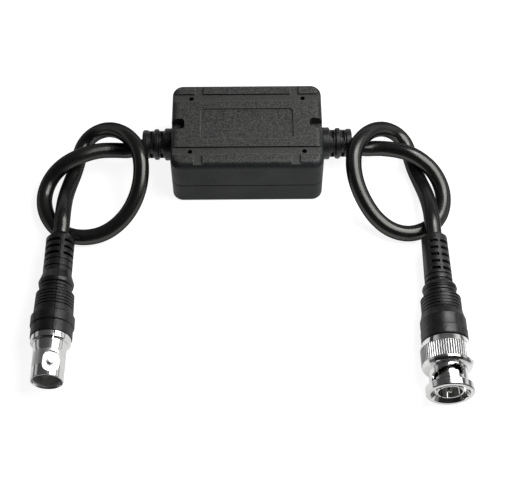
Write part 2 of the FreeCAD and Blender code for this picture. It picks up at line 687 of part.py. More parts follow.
def tube(points, diameter, name):
    """Round tube along a route, with its bend radii and volume reported."""
    radii = []
    path = bend_path(points, radii)
    start = V(*points[0])
    direction = V(*points[1]) - start
    section = Part.Wire([Part.Circle(start, direction, diameter / 2).toShape()])
    solid = path.makePipeShell([section], True, False)
    expected = math.pi * diameter ** 2 / 4 * path.Length
    print(name, "length", round(path.Length, 1), "radii", [round(r, 1) for r in radii],
          "volume/expected", round(solid.Volume / expected, 4))
    return solid


def lead_pair(side):
    """Core and shield tails of one lead, from the cord's end down to the board."""
    end_x = CORD_END_X
    pad_x = BOARD_LENGTH / 2 - LEAD_PAD_INSET
    knee_x = (end_x + pad_x) / 2 + LEAD_KNEE_SHIFT
    solids = []
    for offset, diameter in ((LEAD_CORE_SIDE, LEAD_CORE_DIAMETER),
                             (LEAD_SHIELD_SIDE, LEAD_SHIELD_DIAMETER)):
        points = [(side * end_x, offset, RELIEF_AXIS_HEIGHT),
                  (side * knee_x, offset, RELIEF_AXIS_HEIGHT),
                  (side * pad_x, offset, RELIEF_AXIS_HEIGHT - LEAD_KNEE_DROP),
                  (side * pad_x, offset, BOARD_TOP)]
        solids.append(tube(points, diameter, "lead tail"))
    return Part.makeCompound(solids)


def jack_pad(side, bottom, top):
    """Oval block round a lug's place, between two distances from the axis."""
    pad = rounded_plate(JACK_PAD_LENGTH, JACK_PAD_WIDTH, JACK_PAD_CORNER_RADIUS, bottom, top)
    pad.translate(V(JACK_LUG_STATION, 0, 0))
    if side < 0:
        pad.rotate(ZERO, X_AXIS, 180)
    return pad


def jack_shell():
    """Nickel-plated body: mating barrel, flange, spigot and crimp neck."""
    barrel, root = JACK_BARREL_DIAMETER / 2, JACK_BARREL_ROOT_DIAMETER / 2
    flange, chamfer = JACK_FLANGE_DIAMETER / 2, JACK_FLANGE_CHAMFER
    neck, rim = CORD_DIAMETER / 2, JACK_RIM_CHAMFER
    insulator_end = JACK_INSULATOR_NOSE_STATION + JACK_INSULATOR_LENGTH
    shell = turned([
        (0, JACK_MOUTH_DIAMETER / 2), (0, barrel - rim), (rim, barrel), (JACK_BARREL_MATING_LENGTH, barrel),
        (JACK_BARREL_LENGTH, root), (JACK_BARREL_LENGTH, flange - chamfer),
        (JACK_BARREL_LENGTH + chamfer, flange), (JACK_BOOT_FRONT, flange),
        (JACK_BOOT_FRONT, JACK_SPIGOT_DIAMETER / 2), (JACK_SPIGOT_END, JACK_SPIGOT_DIAMETER / 2),
        (JACK_SPIGOT_END, neck), (JACK_CORD_STATION, neck), (JACK_CORD_STATION, CRIMP_NECK_BORE / 2),
        (insulator_end, CRIMP_NECK_BORE / 2), (insulator_end, JACK_INSULATOR_DIAMETER / 2),
        (JACK_BORE_DEPTH, JACK_INSULATOR_DIAMETER / 2), (JACK_BORE_DEPTH, JACK_BORE_DIAMETER / 2),
        (JACK_LEAD_IN, JACK_BORE_DIAMETER / 2)])
    pads, lugs = [], []
    for side in (-1, 1):
        foot = V(JACK_LUG_STATION, 0, side * JACK_BORE_DIAMETER / 2)
        shell = shell.cut(jack_pad(side, JACK_PAD_HEIGHT, JACK_BARREL_DIAMETER))
        pads.append(jack_pad(side, JACK_BORE_DIAMETER / 2, JACK_PAD_HEIGHT))
        lugs.append(cylinder(JACK_LUG_DIAMETER, (JACK_LUG_SPAN - JACK_BORE_DIAMETER) / 2, foot,
                             V(0, 0, side)))
    inside = cylinder(JACK_BORE_DIAMETER, JACK_BORE_DEPTH, ZERO, X_AXIS)
    slit = Part.makeBox(JACK_FLANGE_LENGTH + OVERCUT, JACK_FLANGE_SLIT_WIDTH, JACK_FLANGE_DIAMETER,
                        V(JACK_BOOT_FRONT - JACK_FLANGE_LENGTH - OVERCUT, -JACK_FLANGE_SLIT_WIDTH / 2,
                          JACK_FLANGE_DIAMETER / 2 - JACK_FLANGE_SLIT_DEPTH))
    shell = fuse([shell] + [pad.cut(inside) for pad in pads] + [lug.cut(inside) for lug in lugs])
    return placed_jack(largest_solid(shell.cut(slit)))


def jack_insulator():
    """White bush with a nose round the contact."""
    nose, body = JACK_INSULATOR_NOSE_DIAMETER / 2, JACK_INSULATOR_DIAMETER / 2
    bore = JACK_CONTACT_DIAMETER / 2
    start = JACK_INSULATOR_NOSE_STATION
    end = start + JACK_INSULATOR_LENGTH
    return placed_jack(turned([(start, bore), (start, nose), (JACK_BORE_DEPTH, nose),
                               (JACK_BORE_DEPTH, body), (end, body), (end, bore)]))


def jack_contact():
    """Sprung socket for the plug's pin, with a solder tail."""
    start, outer, bore = JACK_INSULATOR_NOSE_STATION, JACK_CONTACT_DIAMETER / 2, JACK_CONTACT_BORE / 2
    end = start + JACK_CONTACT_LENGTH
    contact = turned([(start, bore), (start, outer), (end, outer), (end, SOLDER_TAIL_DIAMETER / 2),
                      (end + SOLDER_TAIL_LENGTH, SOLDER_TAIL_DIAMETER / 2), (end + SOLDER_TAIL_LENGTH, 0),
                      (start + JACK_CONTACT_BORE_DEPTH, 0), (start + JACK_CONTACT_BORE_DEPTH, bore)])
    slits = [Part.makeBox(CONTACT_SLIT_LENGTH, CONTACT_SLIT_WIDTH, JACK_CONTACT_DIAMETER,
                          V(start, -CONTACT_SLIT_WIDTH / 2, -JACK_CONTACT_DIAMETER / 2)),
             Part.makeBox(CONTACT_SLIT_LENGTH, JACK_CONTACT_DIAMETER, CONTACT_SLIT_WIDTH,
                          V(start, -JACK_CONTACT_DIAMETER / 2, -CONTACT_SLIT_WIDTH / 2))]
    return placed_jack(largest_solid(cut(contact, slits)))


def ferrule(spigot_end):
    """Crimp sleeve that binds the cord's braid to the neck."""
    start = spigot_end + FERRULE_OFFSET
    return ring(CORD_DIAMETER, CORD_DIAMETER + 2 * FERRULE_WALL, start, start + FERRULE_LENGTH)


def boot_bore(front, spigot_diameter, spigot_end, length):
    """Profile points of a boot's inside, from its rear end to its front, round what it is moulded on."""
    cord, sleeve = CORD_DIAMETER / 2, CORD_DIAMETER / 2 + FERRULE_WALL
    start = spigot_end + FERRULE_OFFSET
    return [(front + length, cord), (start + FERRULE_LENGTH, cord), (start + FERRULE_LENGTH, sleeve),
            (start, sleeve), (start, cord), (spigot_end, cord), (spigot_end, spigot_diameter / 2),
            (front, spigot_diameter / 2)]


def ring_groove(station, width, diameter, depth):
    """Cutter for one ring groove of a depth below a diameter."""
    return ring(diameter - 2 * depth, diameter + 2 * OVERCUT, station, station + width)


def grip_grooves(first_station, diameter):
    """Fine rings cut round a boot's grip."""
    return [ring_groove(first_station + index * GRIP_GROOVE_PITCH, GRIP_GROOVE_WIDTH, diameter,
                        GRIP_GROOVE_DEPTH) for index in range(GRIP_GROOVE_COUNT)]


def side_web(middle, length, radius, angle):
    """Wedge towards -X that a ring slot leaves standing."""
    wedge = Part.makeCylinder(radius, length, ZERO, Z_AXIS, angle)
    wedge.rotate(ZERO, Y_AXIS, 90)
    wedge.rotate(ZERO, X_AXIS, 90 - angle / 2)
    wedge.translate(V(middle - length / 2, 0, 0))
    return wedge


def flex_slots(first_station, count, pitch, web_width, web_angle, side_angle, diameter):
    """Ring slots of a boot's flexible end, bridged by webs above, below and at one side."""
    slots = []
    for index in range(count):
        middle = first_station + index * pitch
        slot = ring(FLEX_SLOT_DIAMETER, diameter + 2 * OVERCUT,
                    middle - FLEX_SLOT_WIDTH / 2, middle + FLEX_SLOT_WIDTH / 2)
        webs = web_bars(middle, FLEX_SLOT_WIDTH, web_width, diameter, 2, web_angle)
        if side_angle:
            webs.append(side_web(middle, FLEX_SLOT_WIDTH, diameter, side_angle))
        slots.append(cut(slot, webs))
    return slots


def jack_boot(cord):
    """Moulded boot of the jack, with the cord's own path taken out of it."""
    f = JACK_BOOT_FRONT
    edge, soft = BOOT_EDGE_CHAMFER, BOOT_SOFT_EDGE
    end, collar = JACK_BOOT_END_DIAMETER / 2, JACK_COLLAR_DIAMETER / 2
    shoulder = JACK_BOOT_SHOULDER_DIAMETER / 2
    grip, groove = JACK_BOOT_GRIP_DIAMETER / 2, JACK_BOOT_GROOVE_DIAMETER / 2
    flare, rib = JACK_BOOT_FLARE_DIAMETER / 2, JACK_BOOT_RIB_DIAMETER / 2
    collar_start = f + JACK_BOOT_END_LENGTH
    collar_end = collar_start + JACK_BOOT_COLLAR_LENGTH
    grip_end = f + JACK_BOOT_GRIP_STATION
    groove_end = f + JACK_BOOT_GROOVE_STATION
    lip, lip_end = JACK_BOOT_LIP_DIAMETER / 2, f + JACK_BOOT_LIP_STATION
    rear = f + JACK_BOOT_LENGTH
    profile = [(f, end), (collar_start, end), (collar_start, collar - edge), (collar_start + edge, collar),
               (collar_end - soft, collar), (collar_end, shoulder), (grip_end - soft, grip),
               (grip_end, grip - soft), (grip_end + edge, groove), (groove_end, groove),
               (groove_end + edge, lip), (lip_end, lip), (lip_end + edge, flare - edge / 2),
               (f + JACK_BOOT_FLARE_STATION, flare),
               (f + JACK_BOOT_RIB_STATION, rib), (rear - JACK_BOOT_TIP_LENGTH, rib),
               (rear, JACK_BOOT_TIP_DIAMETER / 2)]
    inside = boot_bore(f, JACK_SPIGOT_DIAMETER, JACK_SPIGOT_END, JACK_BOOT_LENGTH)
    boot = turned(profile + inside)
    grooves = grip_grooves(f + JACK_GRIP_FIRST_STATION, JACK_BOOT_GRIP_DIAMETER)
    grooves.append(ring_groove(lip_end - LIP_GROOVE_WIDTH, LIP_GROOVE_WIDTH, JACK_BOOT_LIP_DIAMETER,
                               LIP_GROOVE_DEPTH))
    for index in range(JACK_RING_GROOVE_COUNT):
        grooves.append(ring_groove(f + JACK_RING_GROOVE_STATION + index * JACK_FLEX_SLOT_PITCH,
                                   JACK_RING_GROOVE_WIDTH, JACK_BOOT_RIB_DIAMETER, JACK_RING_GROOVE_DEPTH))
    slots = flex_slots(f + JACK_FLEX_LAST_STATION, JACK_FLEX_SLOT_COUNT, JACK_FLEX_SLOT_PITCH,
                       JACK_FLEX_WEB_WIDTH, 0, 0, JACK_BOOT_RIB_DIAMETER)
    return largest_solid(placed_jack(cut(boot, grooves + slots)).cut(cord))


def plug_boot(cord):
    """Moulded boot of the plug, with the cord's own path taken out of it."""
    f = PLUG_BOOT_FRONT
    edge, soft = BOOT_EDGE_CHAMFER, BOOT_SOFT_EDGE
    front, taper, grip = PLUG_BOOT_DIAMETER / 2, PLUG_BOOT_TAPER_DIAMETER / 2, PLUG_BOOT_GRIP_DIAMETER / 2
    groove, dome = PLUG_BOOT_GROOVE_DIAMETER / 2, PLUG_BOOT_DOME_DIAMETER / 2
    line = f + PLUG_BOOT_LINE_STATION
    line_floor = front - PLUG_BOOT_LINE_DEPTH
    grip_end = f + PLUG_BOOT_GRIP_END_STATION
    groove_end = f + PLUG_BOOT_GROOVE_STATION
    lip, lip_end = PLUG_BOOT_LIP_DIAMETER / 2, f + PLUG_BOOT_LIP_STATION
    dome_front = f + PLUG_BOOT_DOME_STATION
    dome_back = dome_front + PLUG_BOOT_DOME_LENGTH
    rear = f + PLUG_BOOT_LENGTH
    profile = [(f, front - edge), (f + edge, front), (line - PLUG_BOOT_LINE_DEPTH, front), (line, line_floor),
               (f + PLUG_BOOT_TAPER_STATION, taper),
               (f + PLUG_BOOT_WAIST_STATION, PLUG_BOOT_WAIST_DIAMETER / 2),
               (f + PLUG_BOOT_GRIP_STATION, grip),
               (grip_end - soft, grip), (grip_end, grip - soft), (grip_end + edge, groove),
               (groove_end, groove), (groove_end + edge, lip), (lip_end, lip), (lip_end + edge, dome - edge)]
    for share in PLUG_BOOT_DOME_SHARES:
        drop = (dome - PLUG_BOOT_RIB_DIAMETER / 2) * (1 - math.cos(math.radians(90 * share)))
        profile.append((dome_front + PLUG_BOOT_DOME_LENGTH * math.sin(math.radians(90 * share)), dome - drop))
    profile += [(dome_back, PLUG_BOOT_RIB_DIAMETER / 2),
                (f + PLUG_BOOT_RIB_STATION, PLUG_BOOT_RIB_DIAMETER / 2),
                (rear - PLUG_BOOT_REAR_CHAMFER, PLUG_BOOT_REAR_DIAMETER / 2),
                (rear, PLUG_BOOT_REAR_DIAMETER / 2 - PLUG_BOOT_REAR_CHAMFER)]
    inside = boot_bore(f, BODY_SPIGOT_DIAMETER, BODY_SPIGOT_END, PLUG_BOOT_LENGTH)
    boot = turned(profile + inside)
    slots = flex_slots(f + PLUG_FLEX_LAST_STATION, PLUG_FLEX_SLOT_COUNT, PLUG_FLEX_SLOT_PITCH,
                       PLUG_FLEX_WEB_WIDTH, PLUG_FLEX_TOP_WEB_ANGLE, PLUG_FLEX_SIDE_WEB_ANGLE,
                       PLUG_BOOT_RIB_DIAMETER)
    grooves = grip_grooves(f + PLUG_GRIP_FIRST_STATION, PLUG_BOOT_GRIP_DIAMETER)
    grooves.append(ring_groove(lip_end - LIP_GROOVE_WIDTH, LIP_GROOVE_WIDTH, PLUG_BOOT_LIP_DIAMETER,
                               LIP_GROOVE_DEPTH))
    for station, width in PLUG_RING_GROOVES:
        grooves.append(ring_groove(f + station, width, PLUG_BOOT_RIB_DIAMETER, PLUG_RING_GROOVE_DEPTH))
    return largest_solid(placed_plug(cut(boot, grooves + slots)).cut(cord))


def plug_body():
    """Fixed body of the plug: slit contact sleeve, shoulder, neck, collar, spigot and crimp neck."""
    sleeve, neck = SLEEVE_DIAMETER / 2, BODY_NECK_DIAMETER / 2
    inside = sleeve - SLEEVE_WALL
    shoulder = NUT_BORE_DIAMETER / 2 - SHOULDER_CLEARANCE
    collar, spigot, crimp = BODY_COLLAR_DIAMETER / 2, BODY_SPIGOT_DIAMETER / 2, CORD_DIAMETER / 2
    insulator_end = PLUG_INSULATOR_STATION + PLUG_INSULATOR_LENGTH
    body = turned([
        (SLEEVE_RECESS, inside), (SLEEVE_RECESS, sleeve - SLEEVE_CHAMFER),
        (SLEEVE_RECESS + SLEEVE_CHAMFER, sleeve), (SHOULDER_STATION, sleeve),
        (SHOULDER_STATION, shoulder), (NECK_STATION, shoulder), (NECK_STATION, neck),
        (COLLAR_STATION, neck), (COLLAR_STATION, collar), (PLUG_BOOT_FRONT, collar),
        (PLUG_BOOT_FRONT, spigot), (BODY_SPIGOT_END, spigot), (BODY_SPIGOT_END, crimp),
        (PLUG_CORD_STATION, crimp), (PLUG_CORD_STATION, CRIMP_NECK_BORE / 2),
        (insulator_end, CRIMP_NECK_BORE / 2), (insulator_end, inside)])
    slits = []
    for index in range(SLEEVE_SLIT_COUNT):
        slit = Part.makeBox(SLEEVE_SLIT_LENGTH, SLEEVE_SLIT_WIDTH, SLEEVE_DIAMETER,
                            V(SLEEVE_RECESS, -SLEEVE_SLIT_WIDTH / 2, 0))
        slit.rotate(ZERO, X_AXIS, SLEEVE_SLIT_ANGLE + index * 360.0 / SLEEVE_SLIT_COUNT)
        slits.append(slit)
    return placed_plug(largest_solid(cut(body, slits)))


def plug_insulator():
    """White bush between the plug's body and its pin."""
    end = PLUG_INSULATOR_STATION + PLUG_INSULATOR_LENGTH
    bush = ring(PIN_BODY_DIAMETER, SLEEVE_DIAMETER - 2 * SLEEVE_WALL, PLUG_INSULATOR_STATION, end)
    return placed_plug(bush)


def plug_pin():
    """Centre pin with a rounded tip and a solder tail."""
    nose, body, tail = PIN_DIAMETER / 2, PIN_BODY_DIAMETER / 2, SOLDER_TAIL_DIAMETER / 2
    nose_end = PIN_RECESS + PIN_NOSE_LENGTH
    body_end = nose_end + PIN_BODY_LENGTH
    tip = [(PIN_RECESS + PIN_TIP_LENGTH * (1 - math.cos(angle)), nose * math.sin(angle))
           for angle in (math.pi / 2 * step / PIN_TIP_STEPS for step in range(PIN_TIP_STEPS + 1))]
    return placed_plug(turned(tip + [
        (nose_end, nose), (nose_end, body), (body_end, body), (body_end, tail),
        (body_end + SOLDER_TAIL_LENGTH, tail), (body_end + SOLDER_TAIL_LENGTH, 0)]))


def plug_gasket():
    """Rubber ring that seals on the jack's face."""
    outer = NUT_BORE_DIAMETER - 2 * (SHOULDER_CLEARANCE + GASKET_CLEARANCE)
    return placed_plug(ring(SLEEVE_DIAMETER, outer, GASKET_STATION, SHOULDER_STATION))


def thrust_washer():
    """Flat washer that the nut's inner flange pushes on."""
    front = NUT_FLANGE_STATION - WASHER_GAP - THRUST_WASHER_THICKNESS
    inner = BODY_NECK_DIAMETER + 2 * WASHER_CLEARANCE
    outer = NUT_BORE_DIAMETER - 2 * WASHER_CLEARANCE
    return placed_plug(ring(inner, outer, front, front + THRUST_WASHER_THICKNESS))


def wave_washer():
    """Spring washer with three waves between the body's shoulder and the thrust washer."""
    front = NECK_STATION + WASHER_GAP
    back = NUT_FLANGE_STATION - 2 * WASHER_GAP - THRUST_WASHER_THICKNESS
    middle = (front + back) / 2
    height = (back - front - WAVE_WASHER_SHEET) / 2
    radii = (BODY_NECK_DIAMETER / 2 + 3 * WASHER_CLEARANCE, NUT_BORE_DIAMETER / 2 - 3 * WASHER_CLEARANCE)

    def wave_edge(radius, offset):
        points = []
        for index in range(WAVE_POINTS):
            angle = 2 * math.pi * index / WAVE_POINTS
            station = middle + offset + height * math.cos(WAVE_COUNT * angle)
            points.append(V(station, radius * math.cos(angle), radius * math.sin(angle)))
        curve = Part.BSplineCurve()
        curve.interpolate(points, True)
        return curve.toShape()

    half = WAVE_WASHER_SHEET / 2
    edges = [wave_edge(radii[0], -half), wave_edge(radii[1], -half),
             wave_edge(radii[1], half), wave_edge(radii[0], half)]
    faces = [Part.makeRuledSurface(edges[i], edges[(i + 1) % 4]) for i in range(4)]
    solid = Part.Solid(Part.Shell([face for shape in faces for face in shape.Faces]))
    if solid.Volume < 0:
        solid.reverse()
    return placed_plug(solid)


def bayonet_cutter(side):
    """Sweep of the lug's path: entry, knee, ramp, top and detent, as joined round pockets."""
    knee, top, detent = BAYONET_KNEE_ANGLE, BAYONET_TOP_ANGLE, BAYONET_DETENT_ANGLE
    places = [(BAYONET_ENTRY_ANGLE, BAYONET_ENTRY_STATION)]
    for index in range(BAYONET_STEPS):
        share = index / (BAYONET_STEPS - 1)
        station = BAYONET_KNEE_STATION + share * (BAYONET_TOP_STATION - BAYONET_KNEE_STATION)
        places.append((knee + share * (top - knee), station))
    places.append((detent, BAYONET_TOP_STATION - BAYONET_TOP_DROP))
    places.append((detent, BAYONET_DETENT_STATION))
    reach = NUT_BARREL_DIAMETER
    pieces = []
    for (angle_a, station_a), (angle_b, station_b) in zip(places, places[1:]):
        turn = angle_b - angle_a
        arc = math.radians(turn) * NUT_BARREL_DIAMETER / 2
        span = station_b - station_a
        length = math.hypot(arc, span)
        slab = Part.makeBox(length, BAYONET_WIDTH, reach, V(0, -BAYONET_WIDTH / 2, 0))
        slab.rotate(ZERO, Z_AXIS, math.degrees(math.atan2(-arc, span)))
        slab.translate(V(station_a, 0, 0))
        slab.rotate(ZERO, X_AXIS, angle_a)
        pieces.append(slab)
    for angle, station in places:
        pocket = cylinder(BAYONET_WIDTH, reach, V(station, 0, 0), Z_AXIS)
        pocket.rotate(ZERO, X_AXIS, angle)
        pieces.append(pocket)
    if side < 0:
        for piece in pieces:
            piece.rotate(ZERO, X_AXIS, 180)
    return pieces


def coupling_nut():
    """Knurled bayonet nut with its rim, helical slots, lead-in and inner flange."""
    rim, barrel = NUT_RIM_DIAMETER / 2, NUT_BARREL_DIAMETER / 2
    shoulder, outer, rear = NUT_SHOULDER_DIAMETER / 2, NUT_DIAMETER / 2, NUT_REAR_DIAMETER / 2
    plain = outer - KNURL_DEPTH / 2
    bore, mouth = NUT_BORE_DIAMETER / 2, NUT_MOUTH_DIAMETER / 2
    hub = BODY_NECK_DIAMETER / 2 + NUT_RUNNING_CLEARANCE
    barrel_end = NUT_RIM_LENGTH + NUT_BARREL_LENGTH
    face_end = barrel_end + NUT_SHOULDER_SLOPE
    edge_start = face_end + NUT_SHOULDER_CHAMFER
    knurl_start = edge_start + NUT_EDGE_LENGTH
    knurl_end = knurl_start + NUT_KNURL_LENGTH
    flange_end = NUT_FLANGE_STATION + NUT_FLANGE_THICKNESS
    edge, back = NUT_RIM_CHAMFER, NUT_REAR_CHAMFER
    nut = turned([
        (0, mouth), (0, rim - edge), (edge, rim), (NUT_RIM_LENGTH - edge, rim),
        (NUT_RIM_LENGTH, rim - edge), (NUT_RIM_LENGTH, barrel), (barrel_end, barrel),
        (face_end, shoulder), (edge_start, plain), (knurl_start, plain), (knurl_start, outer),
        (knurl_end, outer), (NUT_LENGTH - back, rear), (NUT_LENGTH, rear - back),
        (NUT_LENGTH, NUT_REAR_BORE / 2), (flange_end, NUT_REAR_BORE / 2), (flange_end, hub),
        (NUT_FLANGE_STATION, hub), (NUT_FLANGE_STATION, bore), (NUT_LEAD_IN, bore)])
    grooves = []
    width = 2 * KNURL_DEPTH
    for index in range(KNURL_COUNT):
        groove = Part.makeBox(NUT_KNURL_LENGTH, width, width, V(knurl_start, -width / 2, -width / 2))
        groove.rotate(V(knurl_start, 0, 0), X_AXIS, 45)
        groove.translate(V(0, 0, outer + width / math.sqrt(2) - KNURL_DEPTH))
        groove.rotate(ZERO, X_AXIS, index * 360.0 / KNURL_COUNT)
        grooves.append(groove)
    nut = largest_solid(cut(nut, grooves))
    inner_groove = []
    for side in (-1, 1):
        slot = Part.makeBox(BAYONET_ENTRY_STATION, BAYONET_WIDTH, bore + BAYONET_GROOVE_DEPTH,
                            V(0, -BAYONET_WIDTH / 2, 0))
        slot.rotate(ZERO, X_AXIS, BAYONET_ENTRY_ANGLE + (0 if side > 0 else 180))
        inner_groove.append(slot)
    window = ring(2 * (bore - OVERCUT), 2 * (rim + OVERCUT), NUT_RIM_LENGTH, barrel_end)
    slots = [piece.common(window) for side in (-1, 1) for piece in bayonet_cutter(side)]
    return placed_plug(largest_solid(cut(nut, inner_groove + slots)))


def export(name, shape):
    """Write one node, with its state printed."""
    box = shape.optimalBoundingBox(False)
    extents = [round(v, 2) for v in (box.XMin, box.XMax, box.YMin, box.YMax, box.ZMin, box.ZMax)]
    print(name, "solids", len(shape.Solids), "valid", shape.isValid(),
          "volume", round(shape.Volume, 2), "extents", extents)
    shape.exportStep(f"parts/{name}.step")


os.makedirs("parts", exist_ok=True)
cord_left = tube(LEFT_ROUTE, CORD_DIAMETER, "cord left")
cord_right = tube(RIGHT_ROUTE, CORD_DIAMETER, "cord right")
export("cord_left", cord_left)
export("cord_right", cord_right)
export("case_bottom", case_bottom())
export("case_top", case_top())
export("strain_relief_left", strain_relief(-1, cord_left))
export("strain_relief_right", strain_relief(1, cord_right))
export("circuit_board", circuit_board())
export("toroid_core", core_ring(0))
export("primary_winding", winding(-1))
export("secondary_winding", winding(1))
export("input_lead_tails", lead_pair(-1))
export("output_lead_tails", lead_pair(1))
export("jack_boot", jack_boot(cord_left))
export("jack_shell", jack_shell())
export("jack_insulator", jack_insulator())
export("jack_contact", jack_contact())
export("jack_ferrule", placed_jack(ferrule(JACK_SPIGOT_END)))
export("plug_boot", plug_boot(cord_right))
export("plug_body", plug_body())
export("plug_insulator", plug_insulator())
export("plug_pin", plug_pin())
export("plug_gasket", plug_gasket())
export("wave_washer", wave_washer())
export("thrust_washer", thrust_washer())
export("plug_ferrule", placed_plug(ferrule(BODY_SPIGOT_END)))
export("coupling_nut", coupling_nut())
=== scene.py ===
"""Dresses the inline isolator: dark moulded case, two knotted coaxial leads, bayonet jack and plug.

Everything is in metres in the part's frame: origin under the middle of the case, +X towards the
plug's lead, +Y to the rear, +Z up. Both connectors point to the front.
"""

import json
import logging
import math
from dataclasses import dataclass
from enum import Enum

import bpy
import numpy as np
from mathutils import Matrix, Vector


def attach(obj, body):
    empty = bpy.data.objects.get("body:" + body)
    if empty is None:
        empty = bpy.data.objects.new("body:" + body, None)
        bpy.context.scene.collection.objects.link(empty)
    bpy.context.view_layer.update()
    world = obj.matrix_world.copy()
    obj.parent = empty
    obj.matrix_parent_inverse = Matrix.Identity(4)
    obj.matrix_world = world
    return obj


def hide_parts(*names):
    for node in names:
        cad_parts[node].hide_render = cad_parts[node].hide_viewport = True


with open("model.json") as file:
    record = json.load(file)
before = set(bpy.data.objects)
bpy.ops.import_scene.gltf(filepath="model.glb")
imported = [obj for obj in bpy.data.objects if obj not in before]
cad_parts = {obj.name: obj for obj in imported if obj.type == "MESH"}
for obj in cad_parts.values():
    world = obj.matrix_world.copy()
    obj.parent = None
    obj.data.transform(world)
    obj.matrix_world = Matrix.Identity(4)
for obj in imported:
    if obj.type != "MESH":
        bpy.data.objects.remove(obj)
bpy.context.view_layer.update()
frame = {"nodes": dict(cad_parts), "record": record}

LOG = logging.getLogger("isolator")
MM = 0.001
NOISE_LIMITS = (0.3, 0.7)
BEVEL_SAMPLES = 6
EDGE_DOTS = (0.99, 0.75)
MIX_FIRST, MIX_SECOND, MIX_RESULT = 6, 7, 2
CURVE_ORDER = 3
CURVE_STEPS = 12
ROUND_STEPS = 8


# Finishes

class Grain(Enum):
    """Surface relief of a finish: its size, in cells per metre, and its height in metres."""

    SPARK_ERODED = (1800.0, 0.00006)
    SATIN_MOULD = (2600.0, 0.000015)
    RUBBED = (1700.0, 0.000035)
    SMOOTH = (900.0, 0.000003)


@dataclass(frozen=True)
class Line:
    """A line that runs front to rear at an X and a height, in metres, such as a connector's axis."""

    x: float
    z: float


